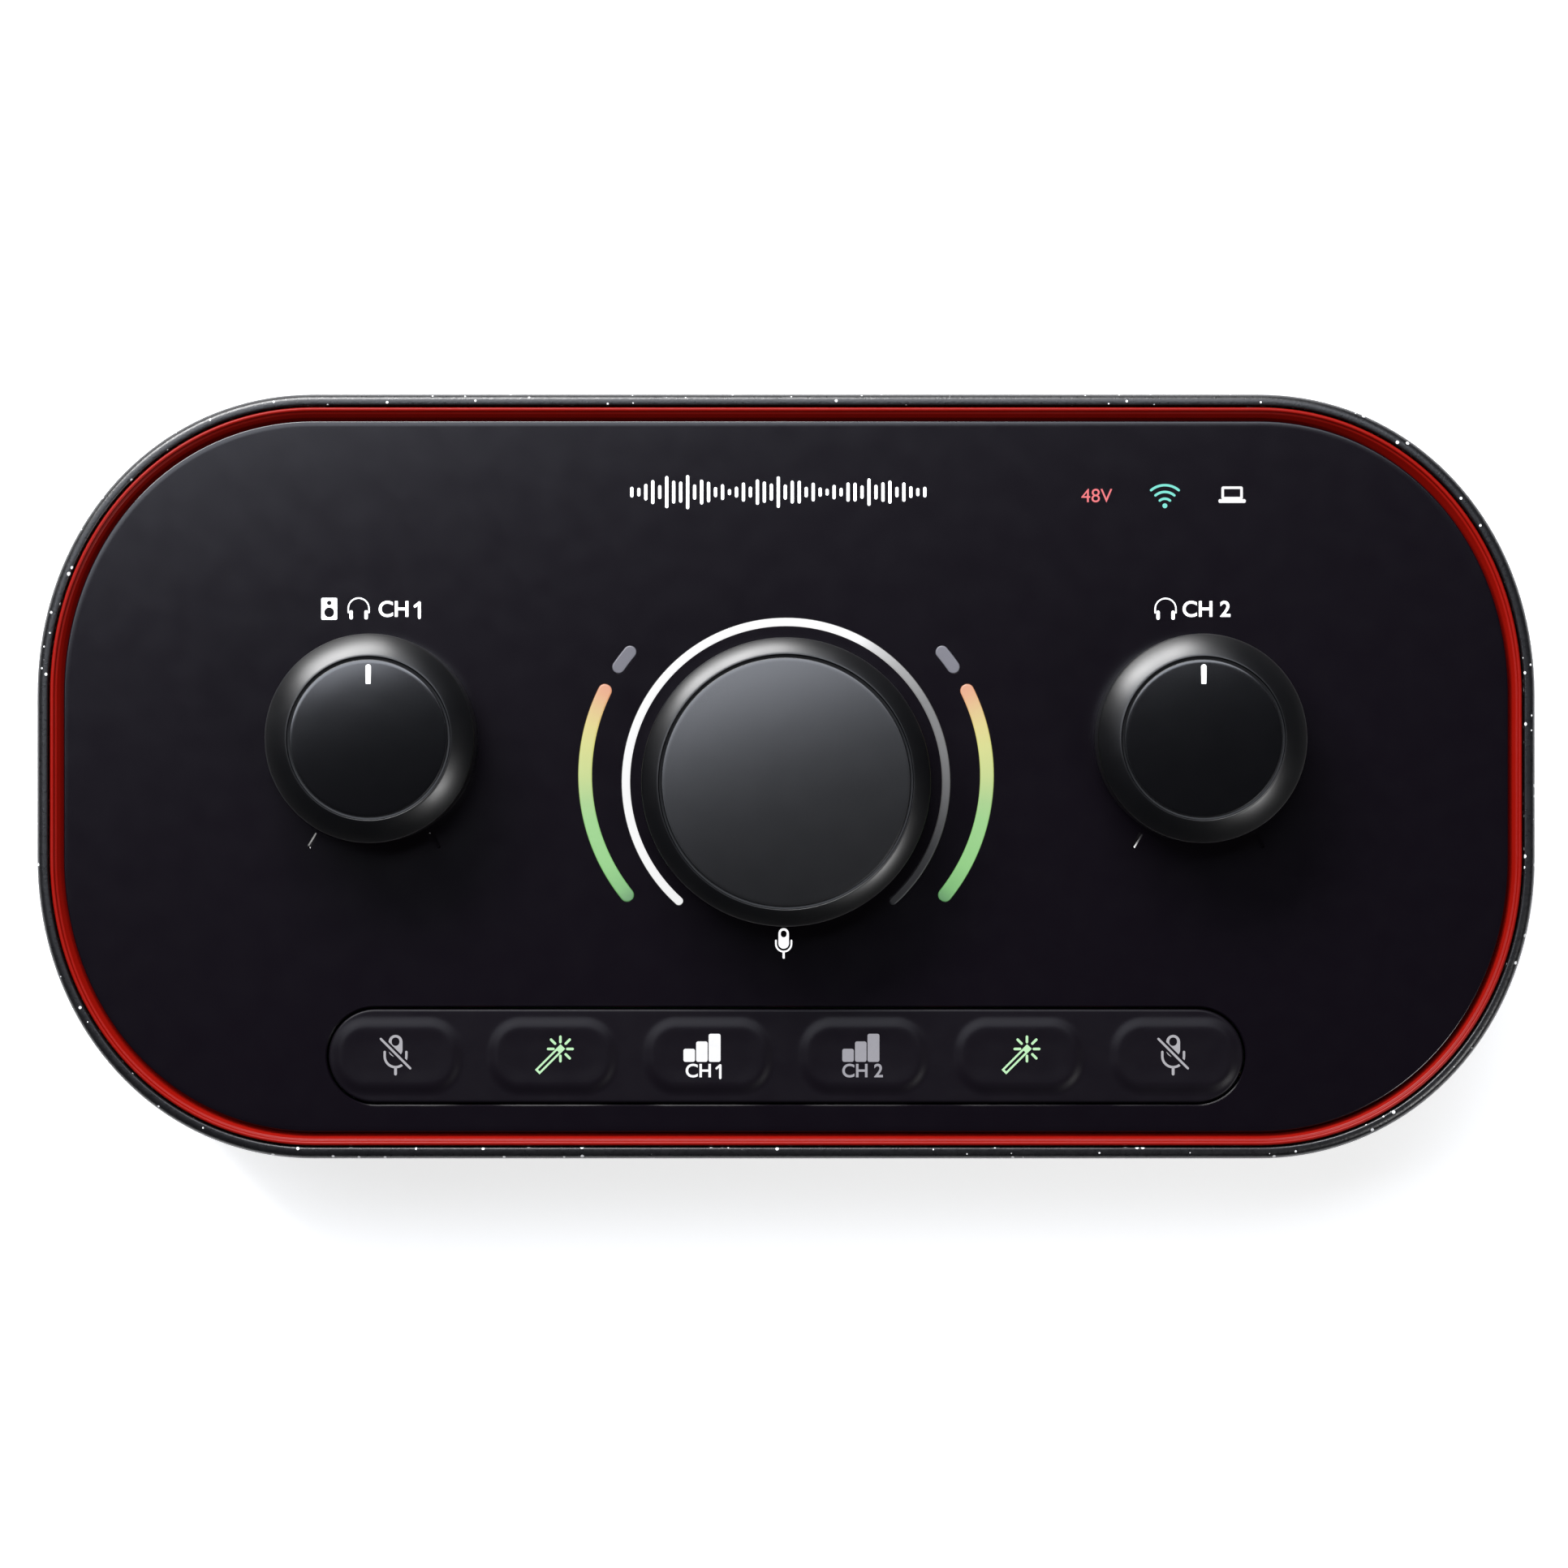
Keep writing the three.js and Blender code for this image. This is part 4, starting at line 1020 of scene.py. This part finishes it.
def jack(nose_radius, bore_radius, length, body_width, segments, floor_y):
    """A round nose in the wall on a square body, with a counterbore for its metal bush."""
    half = body_width / 2
    body = prism([[(-half, floor_y), (half, floor_y), (half, half - 1), (-half, half - 1)]],
                 -length, -3.4)
    nose = lathe(rounded([
        [0, -4.2], [nose_radius, -4.2], [nose_radius, 0, 0.3], [0, 0]], 4), segments)
    bush = bore_radius + 0.75
    bore = lathe([[0, 1.2 - length], [bore_radius, 1.2 - length], [bore_radius, -1.6],
                  [bush, -1.6], [bush, -0.15], [bush + 0.2, 0.001], [bush + 0.2, 1], [0, 1]], 48)
    return boolean(boolean(body, nose, "UNION"), bore)


def bush_ring(bore_radius):
    outer = bore_radius + 0.7
    return lathe(rounded([
        [bore_radius + 0.02, -1.55], [outer, -1.55], [outer, -0.1, 0.12],
        [bore_radius + 0.3, -0.1, 0.1], [bore_radius + 0.02, -0.5, 0.1]], 3, closed=True), 48)


def build_jacks():
    for name, size, x, z, wall in (
            ("line_out_left", BIG_JACK, -LINE_OUT_X[0], SOCKET_Z, REAR_WALL),
            ("line_out_right", BIG_JACK, -LINE_OUT_X[1], SOCKET_Z, REAR_WALL),
            ("camera_socket", SMALL_JACK, -CAMERA_X, SOCKET_Z, REAR_WALL),
            ("phone_socket", SMALL_JACK, -PHONE_X, SOCKET_Z, REAR_WALL),
            ("headphone_socket_1", BIG_JACK, -LEVEL_X, HEADPHONE_Z, FRONT_WALL),
            ("headphone_socket_2", BIG_JACK, LEVEL_X, HEADPHONE_Z, FRONT_WALL)):
        place = (x, z, -SOCKET_SETBACK)
        replace_node(name, moved(jack(*size, JACK_FLOOR - z), *place), SOCKET,
                     "socket_plastic", wall=wall)
        place_piece(f"{name}_bush", moved(bush_ring(size[1]), *place), STEEL, "steel", wall=wall)


def build_usb():
    sleeve = loft(rounded_outline(9.6, 3.9, 1.9, 10), rounded([[0, -9], [0, 0, 0.15], [0.3, 0]], 3))
    carrier = slab((-5, -10.05, -9), (5, -0.75, -4))
    cavity = loft(rounded_outline(8.4, 2.7, 1.3, 10), [
        [0, -7.6], [0, -0.2], [-0.2, 0.001], [-0.2, 1]])
    shell = boolean(boolean(sleeve, carrier, "UNION"), cavity)
    rear(replace_node, "usb_c_socket", shell, USB_X, STEEL, "steel", setback=SOCKET_SETBACK)
    tongue = loft(rounded_outline(6.6, 0.7, 0.2, 3), rounded(
        [[0, -8], [0, -1.8, 0.2], [0.25, -1.8]], 3))
    rear(place_piece, "usb_c_tongue", tongue, USB_X, SOCKET, "socket_plastic",
         setback=SOCKET_SETBACK)


def build_buttons():
    dish = 0.12
    for name, radius, x, glyph, scale in (
            ("pairing_button", 2.6, PAIRING_X, RADIO_WAVES, 0.62),
            ("power_button", 3.4, POWER_X, POWER_SIGN, 1.15)):
        collar = radius + 1
        button = lathe(rounded([
            [0, -7], [collar, -7], [collar, -5.6], [radius, -5.6], [radius, 0, 0.3],
            [radius - 0.7, 0, 0.2], [radius - 1.1, -dish], [0, -dish]], 4), 56)
        rear(replace_node, name, button, x, BUTTON, "button_plastic", name, SOCKET_SETBACK)
        sign = inked(glyph, 0, 0, -dish, scale)
        # The button's sign is print with a painted glow.
        rear(place_sign, f"{name}_sign", sign, x, PAINTED_GLOW_PRINT, "halo_light", name, SOCKET_SETBACK)


def build_wall_print():
    rear_signs = (
        (channel_label(1, 2.8, ""), -46.2, 30.0, 1), (channel_label(2, 2.8, ""), -36.8, 30.0, 1),
        (lettering("L", 2.8), LINE_OUT_X[0], 28.6, 1),
        (lettering("R", 2.8), LINE_OUT_X[1], 28.6, 1),
        (PHONE_SIGN, PHONE_X, 28.6, 0.85), (CAMERA_SIGN, CAMERA_X, 28.6, 0.85),
        (SPEAKER, 32, 28.6, 0.85), (LAPTOP, USB_X, 28.6, 0.75))
    solids = [inked(shape, -x, z, -PLATE_SETBACK, scale) for shape, x, z, scale in rear_signs]
    # The rear and front print glow with painted light.
    place_sign("rear_print", combined(*solids), PAINTED_GLOW_PRINT, "halo_light", wall=REAR_WALL)
    solids = []
    for n, x in ((1, -LEVEL_X), (2, LEVEL_X)):
        solids.append(inked(HEADPHONES, x - 1.4, HEADPHONE_Z + 9.6, 0, 0.85))
        solids.append(inked(channel_label(n, 2.9, ""), x + 2.3, HEADPHONE_Z + 9.5, 0))
    place_sign("front_print", combined(*solids), PAINTED_GLOW_PRINT, "halo_light", wall=FRONT_WALL)


# ---- CAD nodes that stay, each with its own finish ----

def finish_kept_nodes():
    kept = {
        BOARD: ["main_board", "control_board"],
        SWITCH: ["gain_encoder", "level_pot_1", "level_pot_2", "pairing_switch", "power_switch"]
        + [f"key_switch_{n}" for n in range(1, 7)],
        STEEL: ["gain_shaft", "level_shaft_1", "level_shaft_2"],
        GUIDE: ["status_light_guide"],
    }
    for material, names in kept.items():
        for name in names:
            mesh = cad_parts[name].data
            mesh.materials.clear()
            mesh.materials.append(material)


# ---- Stage, light and camera ----

def build_stage():
    size = 3.0
    mesh = bpy.data.meshes.new("floor")
    mesh.from_pydata([(-size, -size, 0), (size, -size, 0), (size, size, 0), (-size, size, 0)], [],
                     [(0, 1, 2, 3)])
    surface = Surface("floor", Roughness=0.9, Specular_IOR_Level=0.1,
                      Emission_Color=(1, 1, 1, 1), Emission_Strength=0.54)
    tone = surface.mix(surface.noise(3, 2), (0.88, 0.88, 0.88), (0.9, 0.9, 0.9))
    surface.set(Base_Color=tone)
    mesh.materials.append(surface.material)
    floor = linked("floor", mesh)


def area_light(name, place, target, size, power, color=(1, 1, 1)):
    data = bpy.data.lights.new(name, "AREA")
    data.shape = "RECTANGLE"
    data.size, data.size_y = size
    data.energy = power
    data.color = color
    light = linked(name, data)
    light.location = place
    light.rotation_euler = (Vector(target) - Vector(place)).to_track_quat("-Z", "Y").to_euler()


def build_lights_and_camera():
    area_light("key", (-0.2, 0.53, 0.97), (-0.12, 0.25, 0), (1.2, 0.8), 13, (0.92, 0.97, 1.08))
    area_light("rear_left", (-0.36, 0.78, 0.60), (0, 0, 0.03), (0.85, 0.3), 29)
    area_light("low_right", (0.54, -0.45, 0.70), (0, 0, 0.03), (0.22, 0.2), 3.6)
    world = bpy.data.worlds.new("studio")
    bpy.context.scene.world = world
    world.use_nodes = True
    background = world.node_tree.nodes["Background"]
    background.inputs["Color"].default_value = (0.95, 0.97, 1.0, 1)
    background.inputs["Strength"].default_value = 0.015
    data = bpy.data.cameras.new("camera")
    data.sensor_width = 36
    data.lens = 138.2
    data.clip_start = 0.05
    camera = linked("camera", data)
    camera.location = (-0.0003, -0.00114, PANEL_TOP * MM + 0.9)
    bpy.context.scene.camera = camera
    bpy.context.scene.view_settings.view_transform = "Standard"


build_shell()
build_base()
build_liner()
build_panel()
build_lights()
build_feet_and_screws()
for key_number in range(1, 7):
    build_keypad_piece(key_number)
build_knobs()
build_symbols()
build_rear_panel()
for mic_number, mic_x in enumerate(MIC_X, 1):
    build_mic_socket(mic_number, mic_x)
build_jacks()
build_usb()
build_buttons()
build_wall_print()
finish_kept_nodes()
build_stage()
build_lights_and_camera()
